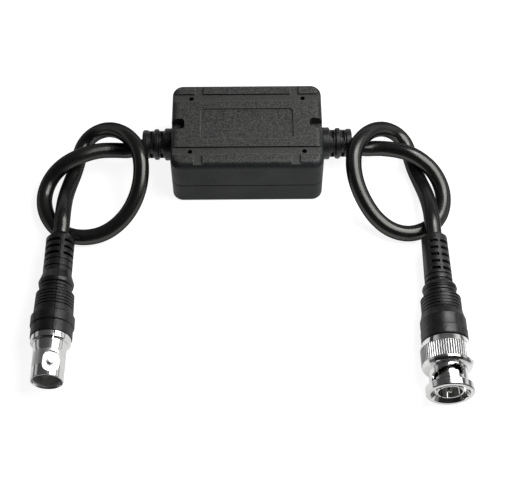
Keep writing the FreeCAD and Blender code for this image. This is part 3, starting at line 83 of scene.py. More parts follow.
class Nodes:
    """Small helper that adds nodes to one material's tree."""

    def __init__(self, name: str) -> None:
        """Make the material and clear its tree.

        Args:
            name: the material's name.
        """
        self.material = bpy.data.materials.new(name)
        self.material.use_nodes = True
        self.tree = self.material.node_tree
        self.tree.nodes.clear()
        self.output = self.tree.nodes.new("ShaderNodeOutputMaterial")
        self.shader = self.tree.nodes.new("ShaderNodeBsdfPrincipled")
        self.tree.links.new(self.shader.outputs["BSDF"], self.output.inputs["Surface"])
        self.place = self.tree.nodes.new("ShaderNodeTexCoord").outputs["Object"]

    def add(self, kind: str, **settings: object) -> bpy.types.Node:
        """Add a node.

        Args:
            kind: Blender's name of the node.
            settings: some of the node's own settings.

        Returns:
            The node.
        """
        node = self.tree.nodes.new(kind)
        for key, value in settings.items():
            setattr(node, key, value)
        return node

    def link(self, source: bpy.types.NodeSocket, target: bpy.types.NodeSocket) -> None:
        """Join two sockets."""
        self.tree.links.new(source, target)

    def noise(self, scale: float, detail: float,
              stretch: tuple = (1.0, 1.0, 1.0)) -> bpy.types.NodeSocket:
        """Noise in the piece's own coordinates.

        Args:
            scale: cells per metre.
            detail: octaves.
            stretch: factors on the three coordinates, for a directional grain.

        Returns:
            The factor socket.
        """
        mapping = self.add("ShaderNodeMapping")
        mapping.inputs["Scale"].default_value = stretch
        self.link(self.place, mapping.inputs["Vector"])
        texture = self.add("ShaderNodeTexNoise")
        texture.inputs["Scale"].default_value = scale
        texture.inputs["Detail"].default_value = detail
        self.link(mapping.outputs["Vector"], texture.inputs["Vector"])
        return texture.outputs["Fac"]

    def spread(self, source: bpy.types.NodeSocket, low: float, high: float) -> bpy.types.NodeSocket:
        """Map a noise's usual range onto low to high.

        Args:
            source: the noise's factor socket.
            low: result at the low end.
            high: result at the high end.

        Returns:
            The result's socket.
        """
        node = self.add("ShaderNodeMapRange")
        node.inputs["From Min"].default_value = NOISE_LIMITS[0]
        node.inputs["From Max"].default_value = NOISE_LIMITS[1]
        node.inputs["To Min"].default_value = low
        node.inputs["To Max"].default_value = high
        self.link(source, node.inputs["Value"])
        return node.outputs["Result"]

    def tint(self, source: bpy.types.NodeSocket, dark: tuple, light: tuple) -> None:
        """Give the base colour two tones from a factor.

        Args:
            source: factor socket.
            dark: colour at the low end.
            light: colour at the high end.
        """
        ramp = self.add("ShaderNodeValToRGB")
        for stop, position, colour in zip(ramp.color_ramp.elements, NOISE_LIMITS, (dark, light)):
            stop.position = position
            stop.color = (*colour, 1.0)
        self.link(source, ramp.inputs["Fac"])
        self.link(ramp.outputs["Color"], self.shader.inputs["Base Color"])

    def soft_edges(self, radius: float) -> bpy.types.NodeSocket:
        """Normal that rounds the sharp edges of a piece.

        Args:
            radius: radius of the rounding, in metres.

        Returns:
            The normal socket.
        """
        node = self.add("ShaderNodeBevel", samples=BEVEL_SAMPLES)
        node.inputs["Radius"].default_value = radius
        return node.outputs["Normal"]

    def edge_highlight_mask(self, radius: float) -> bpy.types.NodeSocket:
        """Factor that is 0 on open faces and 1 along sharp edges and in narrow grooves, where the painted
        edge highlight goes.

        It is one less the dot product of the true normal and the rounded one, scaled up, so it starts
        where the two normals differ by 8 degrees and is full where they differ by 41.

        Args:
            radius: reach of the mask, in metres.

        Returns:
            The factor socket.
        """
        dot = self.add("ShaderNodeVectorMath", operation="DOT_PRODUCT")
        self.link(self.soft_edges(radius), dot.inputs[0])
        self.link(self.add("ShaderNodeNewGeometry").outputs["True Normal"], dot.inputs[1])
        mask = self.add("ShaderNodeMapRange")
        mask.inputs["From Min"].default_value = EDGE_DOTS[0]
        mask.inputs["From Max"].default_value = EDGE_DOTS[1]
        self.link(dot.outputs["Value"], mask.inputs["Value"])
        return mask.outputs["Result"]

    def axis(self, name: str) -> bpy.types.NodeSocket:
        """One of the piece's own three coordinates.

        Args:
            name: X, Y or Z.

        Returns:
            The coordinate's socket, in metres.
        """
        parts = self.add("ShaderNodeSeparateXYZ")
        self.link(self.place, parts.inputs[0])
        return parts.outputs[name]

    def upward(self) -> bpy.types.NodeSocket:
        """Upward share of the normal: 1 on faces that look up and 0 on upright ones.

        Returns:
            The factor socket.
        """
        parts = self.add("ShaderNodeSeparateXYZ")
        self.link(self.add("ShaderNodeNewGeometry").outputs["Normal"], parts.inputs[0])
        return parts.outputs["Z"]

    def band(self, source: bpy.types.NodeSocket, low: float, high: float,
             soft: float) -> bpy.types.NodeSocket:
        """Factor that is 1 where a value lies between two limits, with soft shoulders.

        Args:
            source: the value's socket.
            low: lower limit.
            high: upper limit.
            soft: width of each shoulder.

        Returns:
            The factor socket.
        """
        rise = self.ramp(source, low - soft / 2, low + soft / 2)
        fall = self.ramp(source, high + soft / 2, high - soft / 2)
        return self.math("MULTIPLY", rise, fall)

    def ramp(self, source: bpy.types.NodeSocket, start: float, end: float) -> bpy.types.NodeSocket:
        """Smooth factor that goes from 0 at a start value to 1 at an end value.

        Args:
            source: the value's socket.
            start: value at which the factor is 0.
            end: value at which the factor is 1.

        Returns:
            The factor socket.
        """
        node = self.add("ShaderNodeMapRange", interpolation_type="SMOOTHSTEP")
        node.inputs["From Min"].default_value = start
        node.inputs["From Max"].default_value = end
        self.link(source, node.inputs["Value"])
        return node.outputs["Result"]

    def math(self, operation: str, first: object, second: object = 0.0) -> bpy.types.NodeSocket:
        """Join two sockets or numbers with one operation.

        Args:
            operation: Blender's name of the operation.
            first: socket or number.
            second: socket or number, for an operation that has two.

        Returns:
            The result's socket.
        """
        node = self.add("ShaderNodeMath", operation=operation)
        for value, target in ((first, node.inputs[0]), (second, node.inputs[1])):
            if isinstance(value, (int, float)):
                target.default_value = value
            else:
                self.link(value, target)
        return node.outputs["Value"]

    def blend_colour(self, mask: bpy.types.NodeSocket, colour: tuple) -> None:
        """Lay one more colour over the base colour where a mask is 1.

        Args:
            mask: factor socket.
            colour: the colour laid over.
        """
        target = self.shader.inputs["Base Color"]
        source = target.links[0].from_socket
        mix = self.add("ShaderNodeMix", data_type="RGBA")
        self.link(mask, mix.inputs["Factor"])
        self.link(source, mix.inputs[MIX_FIRST])
        mix.inputs[MIX_SECOND].default_value = (*colour, 1.0)
        self.link(mix.outputs[MIX_RESULT], target)

    def blend_value(self, name: str, mask: bpy.types.NodeSocket, value: float) -> None:
        """Draw one of the shader's values towards another where a mask is 1.

        Args:
            name: the shader's input.
            mask: factor socket.
            value: the value reached where the mask is 1.
        """
        target = self.shader.inputs[name]
        mix = self.add("ShaderNodeMix", data_type="FLOAT")
        self.link(mask, mix.inputs["Factor"])
        if target.links:
            self.link(target.links[0].from_socket, mix.inputs["A"])
        else:
            mix.inputs["A"].default_value = target.default_value
        mix.inputs["B"].default_value = value
        self.link(mix.outputs["Result"], target)

    def length(self, first: bpy.types.NodeSocket, second: bpy.types.NodeSocket) -> bpy.types.NodeSocket:
        """Length of a flat vector: the square root of the sum of the squares.

        Args:
            first: one component's socket.
            second: the other component's socket.

        Returns:
            The length's socket.
        """
        total = self.math("ADD", self.math("MULTIPLY", first, first), self.math("MULTIPLY", second, second))
        return self.math("SQRT", total)

    def beside(self, line: Line) -> bpy.types.NodeSocket:
        """Distance towards +X from a front-to-rear line."""
        return self.math("SUBTRACT", self.axis("X"), line.x)

    def above(self, line: Line) -> bpy.types.NodeSocket:
        """Height above a front-to-rear line."""
        return self.math("SUBTRACT", self.axis("Z"), line.z)

    def off_axis(self, line: Line) -> bpy.types.NodeSocket:
        """Distance from a front-to-rear line, in metres."""
        return self.length(self.beside(line), self.above(line))

    def across(self, line: Line, angle: float) -> bpy.types.NodeSocket:
        """Signed distance from a plane that holds a front-to-rear line.

        It is the place beside the line times the lean's cosine, less the height times its sine.

        Args:
            line: the line.
            angle: the plane's lean from upright towards +X, in degrees.

        Returns:
            The distance's socket, in metres.
        """
        lean = math.radians(angle)
        return self.math("SUBTRACT", self.math("MULTIPLY", self.beside(line), math.cos(lean)),
                         self.math("MULTIPLY", self.above(line), math.sin(lean)))

    def seam(self, line: Line, angle: float, width: float, start: float) -> bpy.types.NodeSocket:
        """Factor of a mould seam: 1 close to a half plane that starts at a front-to-rear line.

        Args:
            line: the line.
            angle: the half plane's lean from upright towards +X, in degrees.
            width: the seam's width, in metres.
            start: height above the line at which the seam is full, in metres.

        Returns:
            The factor socket.
        """
        near = self.ramp(self.math("ABSOLUTE", self.across(line, angle)), width, width / 2)
        return self.math("MULTIPLY", near, self.ramp(self.above(line), 0.0, start))

    def lug(self, line: Line, angle: float, station: float, outer: float,
            inner: float) -> bpy.types.NodeSocket:
        """Factor that is 1 round a lug that stands on a front-to-rear barrel.

        Args:
            line: the barrel's axis.
            angle: the lug's lean from upright towards +X, in degrees.
            station: the lug's Y, in metres.
            outer: distance from the lug's middle at which the factor ends, in metres.
            inner: distance at which it is full, in metres.

        Returns:
            The factor socket.
        """
        along = self.math("SUBTRACT", self.axis("Y"), station)
        return self.ramp(self.length(self.across(line, angle), along), outer, inner)

    def bump(self, heights: list, normal: bpy.types.NodeSocket | None) -> None:
        """Stack bumps.

        Args:
            heights: (factor socket, height in metres) pairs, at least one.
            normal: the normal that the first bump starts from, if not the piece's own.
        """
        for source, height in heights:
            node = self.add("ShaderNodeBump")
            node.inputs["Strength"].default_value = 1.0
            node.inputs["Distance"].default_value = height
            self.link(source, node.inputs["Height"])
            if normal is not None:
                self.link(normal, node.inputs["Normal"])
            normal = node.outputs["Normal"]
        self.link(normal, self.shader.inputs["Normal"])


@dataclass(frozen=True)
class Plastic:
    """Moulded plastic or rubber: two close tones, a fine grain and a slowly changing gloss.

    The rim is where a face turns away from the eye: its reach is the facing factor from where it
    starts to where it is full. Edges get a painted highlight, a lighter tone over a share of the
    colour, and upright sides a painted shade, a darker bluer tone over a share of it; recess floors
    get a tone of their own. A floor is a pair of heights, a seam is a line with its lean in degrees,
    and the mottle is its cells per metre with its height.
    """

    name: str
    dark: tuple
    light: tuple
    roughness: float
    grain: Grain
    spread: float = 0.06
    specular: float = 0.5
    highlight: tuple = (1.0, 1.0, 1.0)
    rim_gloss: float = 0.0
    rim_reach: tuple = ()
    edge_radius: float = 0.0
    # Edge tone, share and reach: a painted highlight, a lighter tone laid along edges and in narrow grooves.
    edge_highlight_tone: tuple = ()
    edge_highlight_share: float = 0.45
    edge_highlight_reach: float = 0.0004
    # Side tone and share: a painted shade, a darker bluer tone on upright faces, whose grain relief is also
    # flattened.
    side_shade_tone: tuple = (0.01, 0.0116, 0.0135)
    side_shade_and_smooth_share: float = 0.0
    side_specular: float = 0.3
    side_limits: tuple = (0.97, 0.8)
    floors: tuple = ()
    floor_tone: tuple = ()
    floor_share: float = 0.5
    floor_shoulder: float = 0.00008
    seams: tuple = ()
    seam_tone: tuple = (0.002, 0.002, 0.002)
    seam_share: float = 0.85
    seam_specular: float = 0.1
    seam_width: float = 0.00013
    seam_start: float = 0.001
    mottle: tuple = (110.0, 0.00002)
    grain_detail: float = 4.0
    mottle_detail: float = 3.0

    def material(self) -> bpy.types.Material:
        """Build the material.

        Its colour, gloss and relief come from two noises, a fine grain and a broad mottle. Recess
        floors, the rim and mould seams then draw them towards their own values; edges are drawn
        towards a painted highlight and upright sides towards a painted shade.

        Returns:
            The material.
        """
        nodes = Nodes(self.name)
        cells, height = self.grain.value
        fine = nodes.noise(cells, self.grain_detail)
        broad = nodes.noise(self.mottle[0], self.mottle_detail)
        nodes.tint(fine, self.dark, self.light)
        gloss = nodes.spread(broad, self.roughness - self.spread, self.roughness + self.spread)
        nodes.link(gloss, nodes.shader.inputs["Roughness"])
        nodes.shader.inputs["Specular IOR Level"].default_value = self.specular
        nodes.shader.inputs["Specular Tint"].default_value = (*self.highlight, 1.0)
        for low, high in self.floors:
            mask = nodes.band(nodes.axis("Z"), low, high, self.floor_shoulder)
            nodes.blend_colour(nodes.math("MULTIPLY", mask, self.floor_share), self.floor_tone)
        if self.rim_reach:
            facing = nodes.add("ShaderNodeLayerWeight").outputs["Facing"]
            nodes.blend_value("Specular IOR Level", nodes.ramp(facing, *self.rim_reach), self.rim_gloss)
        for line, angle in self.seams:
            mask = nodes.seam(line, angle, self.seam_width, self.seam_start)
            nodes.blend_colour(nodes.math("MULTIPLY", mask, self.seam_share), self.seam_tone)
            nodes.blend_value("Specular IOR Level", mask, self.seam_specular)
        # Painted highlight: a lighter tone laid along sharp edges and in narrow grooves.
        if self.edge_highlight_tone:
            mask = nodes.edge_highlight_mask(self.edge_highlight_reach)
            nodes.blend_colour(nodes.math("MULTIPLY", mask, self.edge_highlight_share), self.edge_highlight_tone)
        # Painted shade: upright faces are drawn to a darker, bluer tone, and their grain relief is
        # flattened.
        if self.side_shade_and_smooth_share:
            mask = nodes.ramp(nodes.upward(), *self.side_limits)
            nodes.blend_colour(nodes.math("MULTIPLY", mask, self.side_shade_and_smooth_share), self.side_shade_tone)
            nodes.blend_value("Specular IOR Level", mask, self.side_specular)
            flat = nodes.math("MULTIPLY", mask, self.side_shade_and_smooth_share)
            fine = nodes.math("MULTIPLY", fine, nodes.math("SUBTRACT", 1.0, flat))
        rounded = nodes.soft_edges(self.edge_radius) if self.edge_radius else None
        nodes.bump([(fine, height), (broad, self.mottle[1])], rounded)
        return nodes.material


@dataclass(frozen=True)
class Metal:
    """Turned metal: fine rings round the connector's axis, faint smudges in the gloss.

    A bore or a knurl is its axis, its radius and the Y of its front and rear. A lug is the barrel's
    axis, its lean in degrees, its Y, and the distances at which its ring ends and is full.
    """

    name: str
    dark: tuple
    light: tuple
    roughness: float
    spread: float = 0.05
    ring_cells: float = 9000.0
    ring_stretch: tuple = (0.02, 1.0, 0.02)
    ring_detail: float = 2.0
    ring_height: float = 0.0000014
    smudge_cells: float = 260.0
    smudge_detail: float = 4.0
    edge_radius: float = 0.00008
    bores: tuple = ()
    bore_tone: tuple = (0.62, 0.62, 0.62)
    bore_roughness: float = 0.6
    bore_shoulder: float = 0.0002
    knurls: tuple = ()
    # Knurl groove tone: painted shade, a dark tone laid into the bottoms of the knurl's grooves.
    knurl_groove_shade_tone: tuple = (0.1, 0.1, 0.1)
    knurl_roughness: float = 0.42
    knurl_depth: float = 0.00016
    knurl_skin: tuple = (0.0008, 0.0005)
    knurl_shoulder: float = 0.0001
    lugs: tuple = ()
    lug_roughness: float = 0.55
    # Lug tone: painted light, a brighter tone round the lug's foot that lifts the dark reflection on its
    # wall.
    lug_painted_light_tone: tuple = (0.86, 0.86, 0.86)

    def material(self) -> bpy.types.Material:
        """Build the material.

        Bores get a brighter tone and a duller gloss, knurls painted shade in their grooves and a duller
        skin, and the foot of a lug a painted light ring with a duller gloss.

        Returns:
            The material.
        """
        nodes = Nodes(self.name)
        rings = nodes.noise(self.ring_cells, self.ring_detail, self.ring_stretch)
        smudge = nodes.noise(self.smudge_cells, self.smudge_detail)
        nodes.tint(smudge, self.dark, self.light)
        gloss = nodes.spread(smudge, self.roughness - self.spread, self.roughness + self.spread)
        nodes.link(gloss, nodes.shader.inputs["Roughness"])
        nodes.shader.inputs["Metallic"].default_value = 1.0
        for line, radius, front, rear in self.bores:
            inside = nodes.ramp(nodes.off_axis(line), radius + self.bore_shoulder, radius)
            zone = nodes.band(nodes.axis("Y"), front, rear, self.bore_shoulder)
            mask = nodes.math("MULTIPLY", inside, zone)
            nodes.blend_colour(mask, self.bore_tone)
            nodes.blend_value("Roughness", mask, self.bore_roughness)
        for line, radius, front, rear in self.knurls:
            reach = nodes.off_axis(line)
            zone = nodes.band(nodes.axis("Y"), front, rear, self.knurl_shoulder)
            # Painted shade: a dark tone laid into the bottoms of the knurl's grooves.
            groove_shade = nodes.ramp(reach, radius, radius - self.knurl_depth)
            nodes.blend_colour(nodes.math("MULTIPLY", groove_shade, zone), self.knurl_groove_shade_tone)
            skin = nodes.ramp(reach, *(radius - depth for depth in self.knurl_skin))
            nodes.blend_value("Roughness", nodes.math("MULTIPLY", skin, zone), self.knurl_roughness)
        # Painted light: a brighter tone round each lug lifts the dark reflection on its wall; a higher
        # roughness softens it too.
        for place in self.lugs:
            mask = nodes.lug(*place)
            nodes.blend_colour(mask, self.lug_painted_light_tone)
            nodes.blend_value("Roughness", mask, self.lug_roughness)
        nodes.bump([(rings, self.ring_height)], nodes.soft_edges(self.edge_radius))
        return nodes.material


JACK_AXIS = Line(-0.0578, 0.00655)
PLUG_AXIS = Line(0.0574, 0.0075)
JACK_BORE = (JACK_AXIS, 0.0042, -0.0842, -0.0757)
NUT_KNURL = (PLUG_AXIS, 0.00742, -0.0806, -0.0758)
JACK_SEAM = (JACK_AXIS, 12.0)
JACK_LUG = (JACK_AXIS, 18.0, -0.0799, 0.0017, 0.00102)

# The case top's edge tone is a painted highlight along its edges, and its side tone a painted shade on its
# upright faces.
CASE_UPPER = Plastic("case_upper_finish", (0.003, 0.0035, 0.003), (0.085, 0.088, 0.082), 0.5,
                     Grain.SPARK_ERODED, edge_radius=0.00022, edge_highlight_tone=(0.2, 0.205, 0.19),
                     floors=((0.0182, 0.0184),), floor_tone=(0.055, 0.057, 0.053), side_shade_and_smooth_share=0.85)
CASE_LOWER = Plastic("case_lower_finish", (0.005, 0.0062, 0.0076), (0.0155, 0.0178, 0.0205), 0.5,
                     Grain.SATIN_MOULD, specular=0.3, edge_radius=0.00022)
RELIEF = Plastic("relief_finish", (0.008, 0.008, 0.0078), (0.016, 0.016, 0.0155), 0.36, Grain.SATIN_MOULD,
                 edge_radius=0.0002)
BOOT = Plastic("boot_finish", (0.006, 0.006, 0.006), (0.012, 0.012, 0.0115), 0.34, Grain.RUBBED, 0.08,
               specular=0.46, rim_gloss=0.05, rim_reach=(0.35, 0.8), edge_radius=0.00025, seams=(JACK_SEAM,),
               mottle=(420.0, 0.00005))
JACKET = Plastic("jacket_finish", (0.005, 0.0056, 0.0053), (0.0088, 0.0096, 0.009), 0.25, Grain.SMOOTH, 0.05,
                 specular=0.8, highlight=(1.0, 0.985, 0.94), rim_gloss=0.02, rim_reach=(0.2, 0.6))
WHITE_BUSH = Plastic("bush_finish", (0.74, 0.73, 0.7), (0.84, 0.83, 0.8), 0.42, Grain.SMOOTH)
GASKET = Plastic("gasket_finish", (0.02, 0.02, 0.02), (0.035, 0.035, 0.035), 0.65, Grain.SATIN_MOULD)
BOARD = Plastic("board_finish", (0.03, 0.14, 0.05), (0.05, 0.2, 0.08), 0.4, Grain.SMOOTH)
FERRITE = Plastic("ferrite_finish", (0.05, 0.05, 0.052), (0.08, 0.08, 0.082), 0.55, Grain.SATIN_MOULD)
NICKEL = Metal("nickel_finish", (0.66, 0.66, 0.655), (0.78, 0.78, 0.775), 0.13, bores=(JACK_BORE,),
               knurls=(NUT_KNURL,), lugs=(JACK_LUG,))
SPRING = Metal("spring_finish", (0.48, 0.48, 0.47), (0.58, 0.58, 0.57), 0.3)
PALE_PLATE = Metal("contact_finish", (0.62, 0.61, 0.57), (0.74, 0.73, 0.69), 0.2)
COPPER = Metal("copper_finish", (0.5, 0.19, 0.09), (0.62, 0.26, 0.13), 0.28)
TINNED = Metal("tinned_finish", (0.58, 0.58, 0.56), (0.68, 0.68, 0.66), 0.3)

SLOT_FINISHES = {
    "case_lower": CASE_LOWER, "case_upper": CASE_UPPER, "relief_plastic": RELIEF,
    "boot_plastic": BOOT, "cord_jacket": JACKET, "white_insulator": WHITE_BUSH,
    "gasket_rubber": GASKET, "board": BOARD, "ferrite": FERRITE, "nickel_plate": NICKEL,
    "spring_steel": SPRING, "contact_plate": PALE_PLATE, "winding_wire": COPPER, "tinned_wire": TINNED,
}


class Paint:
    """Makes each finish once and hands it out by the record's slot name."""

    def __init__(self) -> None:
        """Start with no material made."""
        self.made: dict[str, bpy.types.Material] = {}

    def of(self, slot: str) -> bpy.types.Material:
        """Find or make the material of a slot.

        Args:
            slot: the record's name of the slot.

        Returns:
            The material.
        """
        if slot not in self.made:
            self.made[slot] = SLOT_FINISHES[slot].material()
        return self.made[slot]


PAINT = Paint()


# Leads

@dataclass
class Lead:
    """One coaxial lead with its loose overhand knot, as a round curve along its route."""

    name: str
    node: str
    route_mm: tuple
    connector: tuple
    length: float
    exit_x: float
    diameter: float = 0.005
    exit_height: float = 0.0084

    def build(self) -> None:
        """The curve is a uniform quadratic B-spline: it passes the middle of each run and touches the
        run's direction there.
        """
        curve = bpy.data.curves.new(self.name, "CURVE")
        curve.dimensions = "3D"
        spline = curve.splines.new("NURBS")
        points = np.array(self.route_mm) * MM
        spline.points.add(len(points) - 1)
        flat = np.column_stack([points, np.ones(len(points))])
        spline.points.foreach_set("co", flat.ravel())
        spline.order_u = CURVE_ORDER
        spline.use_endpoint_u = True
        spline.resolution_u = CURVE_STEPS
        curve.bevel_depth = self.diameter / 2
        curve.bevel_resolution = ROUND_STEPS
        curve.use_fill_caps = True
        curve.materials.append(PAINT.of("cord_jacket"))
        lead = bpy.data.objects.new(self.name, curve)
        bpy.context.scene.collection.objects.link(lead)
        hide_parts(self.node)
        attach(lead, "root")


LEFT_LEAD = Lead("lead_left", "cord_left", (
    (-18.6, 0, 8.4), (-32.1, 0, 8.4), (-37.6, -1.7, 7.3), (-42.9, -1.3, 7.3), (-48.2, -2.3, 8.4),
    (-53.4, -4.6, 8.8), (-58.4, -6.8, 7.7), (-62.8, -9.9, 5), (-65.1, -15, 2.9), (-64.7, -21.1, 2.5),
    (-62, -26.8, 2.5), (-57.8, -30.7, 2.5), (-52, -32.3, 2.5), (-45.8, -31.4, 2.8),
    (-40.4, -28.4, 4.4), (-36.2, -23.8, 7), (-33.7, -18, 10.4), (-33.2, -11.8, 13.6),
    (-34.6, -6.2, 14.8), (-37.6, -1.3, 14.1), (-41.4, 3.1, 11.8), (-45.8, 6.2, 8.8),
    (-50.4, 6.7, 5.8), (-53.8, 4.1, 3.6), (-55.1, -0.9, 2.6), (-56, -6.6, 2.5), (-57.2, -12.2, 3.1),
    (-57.8, -18, 4.9), (-57.7, -23.4, 7.1), (-57.5, -28.8, 8.6), (-57.8, -34.8, 6.55),
    (-57.8, -51.9, 6.55)),
    ("jack_boot", "jack_shell", "jack_insulator", "jack_contact", "jack_ferrule"),
    length=0.2011, exit_x=-0.0336)

RIGHT_LEAD = Lead("lead_right", "cord_right", (
    (18.6, 0, 8.4), (32.1, 0, 8.4), (37.2, -1.5, 7.2), (42.2, -1.2, 7.2), (47, -2.6, 8.3),
    (51.8, -4.4, 8.9), (56.2, -6.9, 8), (60.1, -10.1, 5.9), (62.6, -14.8, 3.2), (62.5, -20.6, 2.5),
    (60.4, -26.2, 2.5), (56, -30.2, 2.5), (50.4, -31.9, 2.5), (44.8, -30.6, 3.2), (40, -27.2, 5.2),
    (36.4, -22.4, 8.2), (34, -17.2, 11.4), (33.3, -11.8, 14), (34.4, -6.3, 14.8), (37.2, -1.5, 14.1),
    (40.8, 2.9, 11.6), (44.9, 5.9, 8.4), (49, 6.3, 5.4), (52, 3.8, 3.5), (53.2, -0.8, 2.6),
    (54.2, -6.4, 2.5), (55.5, -11.8, 3.2), (56.6, -17.6, 4.9), (57.1, -23.4, 7), (57.3, -29.2, 8.3),
    (57.4, -37.22, 7.5), (57.4, -55.32, 7.5)),
    ("plug_boot", "plug_body", "plug_insulator", "plug_pin", "plug_gasket", "wave_washer",
     "thrust_washer", "plug_ferrule", "coupling_nut"), length=0.1972, exit_x=0.0336)


# Solids that are shown as they are

@dataclass
class PlainSolids:
    """CAD nodes whose own shape is shown, each with the finish of its slot."""

    nodes: tuple

    def dress(self) -> None:
        """Give each node its slot's finish."""
        slots = {row["node"]: row["material_slot"] for row in frame["record"]["subparts"]}
        for name in self.nodes:
            solid = frame["nodes"][name]
            solid.data.materials.clear()
            solid.data.materials.append(PAINT.of(slots[name]))
            LOG.info("dressed %s as %s", name, slots[name])


# Studio

@dataclass(frozen=True)
class Lamp:
    """A soft rectangular lamp: its place and its two sides in metres, and its power in watts."""

    name: str
    place: tuple
    size: tuple
    power: float

    def hang(self, target: tuple) -> None:
        """Hang the lamp so that it faces a point.

        Args:
            target: the point, in metres.
        """
        data = bpy.data.lights.new(self.name, "AREA")
        data.shape = "RECTANGLE"
        data.size, data.size_y = self.size
        data.energy = self.power
        lamp = bpy.data.objects.new(self.name, data)
        bpy.context.scene.collection.objects.link(lamp)
        lamp.location = self.place
        aim = Vector(target) - Vector(self.place)
        lamp.rotation_mode = "QUATERNION"
        lamp.rotation_quaternion = aim.to_track_quat("-Z", "Y")


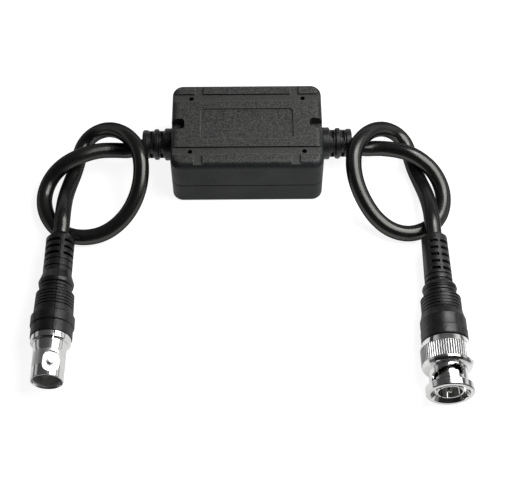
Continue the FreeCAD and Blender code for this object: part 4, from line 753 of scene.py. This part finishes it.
@dataclass
class Studio:
    """Pale floor, soft lamps, pale surroundings and the camera of the photograph."""

    floor_size: float = 3.0
    floor_tone: float = 0.42
    floor_glow: float = 0.62
    floor_white: float = 0.88
    floor_roughness: float = 0.9
    floor_specular: float = 0.1
    floor_reach: tuple = (0.085, 0.0765)
    floor_middle: float = -0.037
    floor_fade: tuple = (1.0, 1.35)
    floor_far: float = 0.15
    horizon_tone: float = 0.9
    ceiling_tone: float = 0.12
    ceiling_rise: tuple = (0.2, 0.4)
    front_tone: float = 0.2
    front_rise: tuple = (-0.4, 0.2)
    left_tone: float = 0.6
    left_rise: tuple = (-0.6, 0.2)
    lamps: tuple = (
        Lamp("lamp_top_left", (0.09, 0.28, 0.7), (0.18, 0.36), 0.03),
        Lamp("lamp_top_right", (0.148, 0.095, 0.335), (0.066, 0.18), 0.148),
        Lamp("lamp_right", (0.14, -0.02, 0.2), (0.2, 0.2), 0.58),
    )
    lamp_target: tuple = (0.0, -0.035, 0.0)
    lens: float = 84.706
    sensor: float = 36.0
    camera_range: tuple = (0.01, 10.0)
    camera_mm: tuple = (1.361, -240.474, 315.712)
    camera_right: tuple = (0.99996908, -0.00757875, -0.00209856)
    camera_up: tuple = (0.00749363, 0.83740176, 0.54653649)
    camera_back: tuple = (-0.00238473, -0.54653531, 0.83743266)

    def floor(self) -> None:
        """Lay the floor under the part.

        Close to the part the camera sees it near white under the part's shade, and shiny pieces see
        it glow. Far from the part the camera sees it pure white.
        """
        half = self.floor_size / 2
        mesh = bpy.data.meshes.new("floor")
        mesh.from_pydata([(-half, -half, 0), (half, -half, 0), (half, half, 0), (-half, half, 0)],
                         [], [(0, 1, 2, 3)])
        floor = bpy.data.objects.new("floor", mesh)
        bpy.context.scene.collection.objects.link(floor)
        nodes = Nodes("floor_finish")
        nodes.shader.inputs["Roughness"].default_value = self.floor_roughness
        nodes.shader.inputs["Specular IOR Level"].default_value = self.floor_specular
        far = self.far_mask(nodes)
        tone = nodes.add("ShaderNodeMix", data_type="RGBA")
        nodes.link(far, tone.inputs["Factor"])
        tone.inputs[MIX_FIRST].default_value = (self.floor_tone,) * 3 + (1.0,)
        tone.inputs[MIX_SECOND].default_value = (self.floor_far,) * 3 + (1.0,)
        nodes.link(tone.outputs[MIX_RESULT], nodes.shader.inputs["Base Color"])
        seen = nodes.add("ShaderNodeLightPath")
        close = nodes.math("SUBTRACT", 1.0, far)
        white = nodes.math("ADD", nodes.math("MULTIPLY", close, self.floor_white), far)
        to_camera = nodes.math("MULTIPLY", seen.outputs["Is Camera Ray"], white)
        pale = nodes.math("MULTIPLY", close, self.floor_glow)
        to_gloss = nodes.math("MULTIPLY", seen.outputs["Is Glossy Ray"], pale)
        glow = nodes.add("ShaderNodeEmission")
        nodes.link(nodes.math("ADD", to_camera, to_gloss), glow.inputs["Strength"])
        both = nodes.add("ShaderNodeAddShader")
        nodes.link(nodes.shader.outputs["BSDF"], both.inputs[0])
        nodes.link(glow.outputs["Emission"], both.inputs[1])
        nodes.link(both.outputs[0], nodes.output.inputs["Surface"])
        mesh.materials.append(nodes.material)

    def far_mask(self, nodes: Nodes) -> bpy.types.NodeSocket:
        """Factor that goes from 0 close to the part to 1 far from it, over an oval round the part.

        Args:
            nodes: the floor's nodes.

        Returns:
            The factor socket.
        """
        reach_x, reach_y = self.floor_reach
        along = nodes.math("DIVIDE", nodes.axis("X"), reach_x)
        across = nodes.math("DIVIDE", nodes.math("SUBTRACT", nodes.axis("Y"), self.floor_middle), reach_y)
        return nodes.ramp(nodes.length(along, across), *self.floor_fade)

    def world(self) -> None:
        """Surround the part with a pale horizon under a dim ceiling, white where the camera sees it.

        The tone falls smoothly with the height of the direction, from the horizon's to the ceiling's,
        and the front and the left are dimmer than the rear and the right.
        """
        world = bpy.data.worlds.new("studio")
        bpy.context.scene.world = world
        world.use_nodes = True
        tree = world.node_tree
        tree.nodes.clear()
        output = tree.nodes.new("ShaderNodeOutputWorld")
        direction = tree.nodes.new("ShaderNodeTexCoord")
        parts = tree.nodes.new("ShaderNodeSeparateXYZ")
        tree.links.new(direction.outputs["Generated"], parts.inputs[0])
        tones = []
        for axis, rise, low, high in (("Z", self.ceiling_rise, self.horizon_tone, self.ceiling_tone),
                                      ("Y", self.front_rise, self.front_tone, 1.0),
                                      ("X", self.left_rise, self.left_tone, 1.0)):
            ramp = tree.nodes.new("ShaderNodeMapRange")
            ramp.interpolation_type = "SMOOTHSTEP"
            ramp.inputs["From Min"].default_value, ramp.inputs["From Max"].default_value = rise
            ramp.inputs["To Min"].default_value = low
            ramp.inputs["To Max"].default_value = high
            tree.links.new(parts.outputs[axis], ramp.inputs["Value"])
            tones.append(ramp.outputs["Result"])
        total = tones[0]
        for factor in tones[1:]:
            product = tree.nodes.new("ShaderNodeMath")
            product.operation = "MULTIPLY"
            tree.links.new(total, product.inputs[0])
            tree.links.new(factor, product.inputs[1])
            total = product.outputs[0]
        soft = tree.nodes.new("ShaderNodeBackground")
        soft.inputs["Color"].default_value = (1.0, 1.0, 1.0, 1.0)
        tree.links.new(total, soft.inputs["Strength"])
        white = tree.nodes.new("ShaderNodeBackground")
        white.inputs["Strength"].default_value = 1.0
        white.inputs["Color"].default_value = (1.0, 1.0, 1.0, 1.0)
        path = tree.nodes.new("ShaderNodeLightPath")
        mix = tree.nodes.new("ShaderNodeMixShader")
        tree.links.new(path.outputs["Is Camera Ray"], mix.inputs["Fac"])
        tree.links.new(soft.outputs[0], mix.inputs[1])
        tree.links.new(white.outputs[0], mix.inputs[2])
        tree.links.new(mix.outputs[0], output.inputs["Surface"])

    def camera(self) -> None:
        """Stand the camera where the photograph was taken."""
        data = bpy.data.cameras.new("camera")
        data.lens = self.lens
        data.sensor_width = self.sensor
        data.sensor_fit = "HORIZONTAL"
        data.clip_start, data.clip_end = self.camera_range
        camera = bpy.data.objects.new("camera", data)
        bpy.context.scene.collection.objects.link(camera)
        turn = Matrix((self.camera_right, self.camera_up, self.camera_back)).transposed()
        camera.matrix_world = Matrix.Translation(Vector(self.camera_mm) * MM) @ turn.to_4x4()
        bpy.context.scene.camera = camera

    def build(self) -> None:
        """Set up floor, surroundings, lamps and camera."""
        self.floor()
        self.world()
        for lamp in self.lamps:
            lamp.hang(self.lamp_target)
        self.camera()
        bpy.context.scene.view_settings.view_transform = "Standard"


def main() -> None:
    """Build and dress every piece in order."""
    logging.basicConfig(level=logging.INFO, format="%(message)s")
    leads = (LEFT_LEAD, RIGHT_LEAD)
    drawn = {lead.node for lead in leads}
    PlainSolids(tuple(name for name in frame["nodes"] if name not in drawn)).dress()
    for lead in leads:
        lead.build()
        LOG.info("laid %s", lead.name)
    Studio().build()


if __name__ == "__main__":
    main()
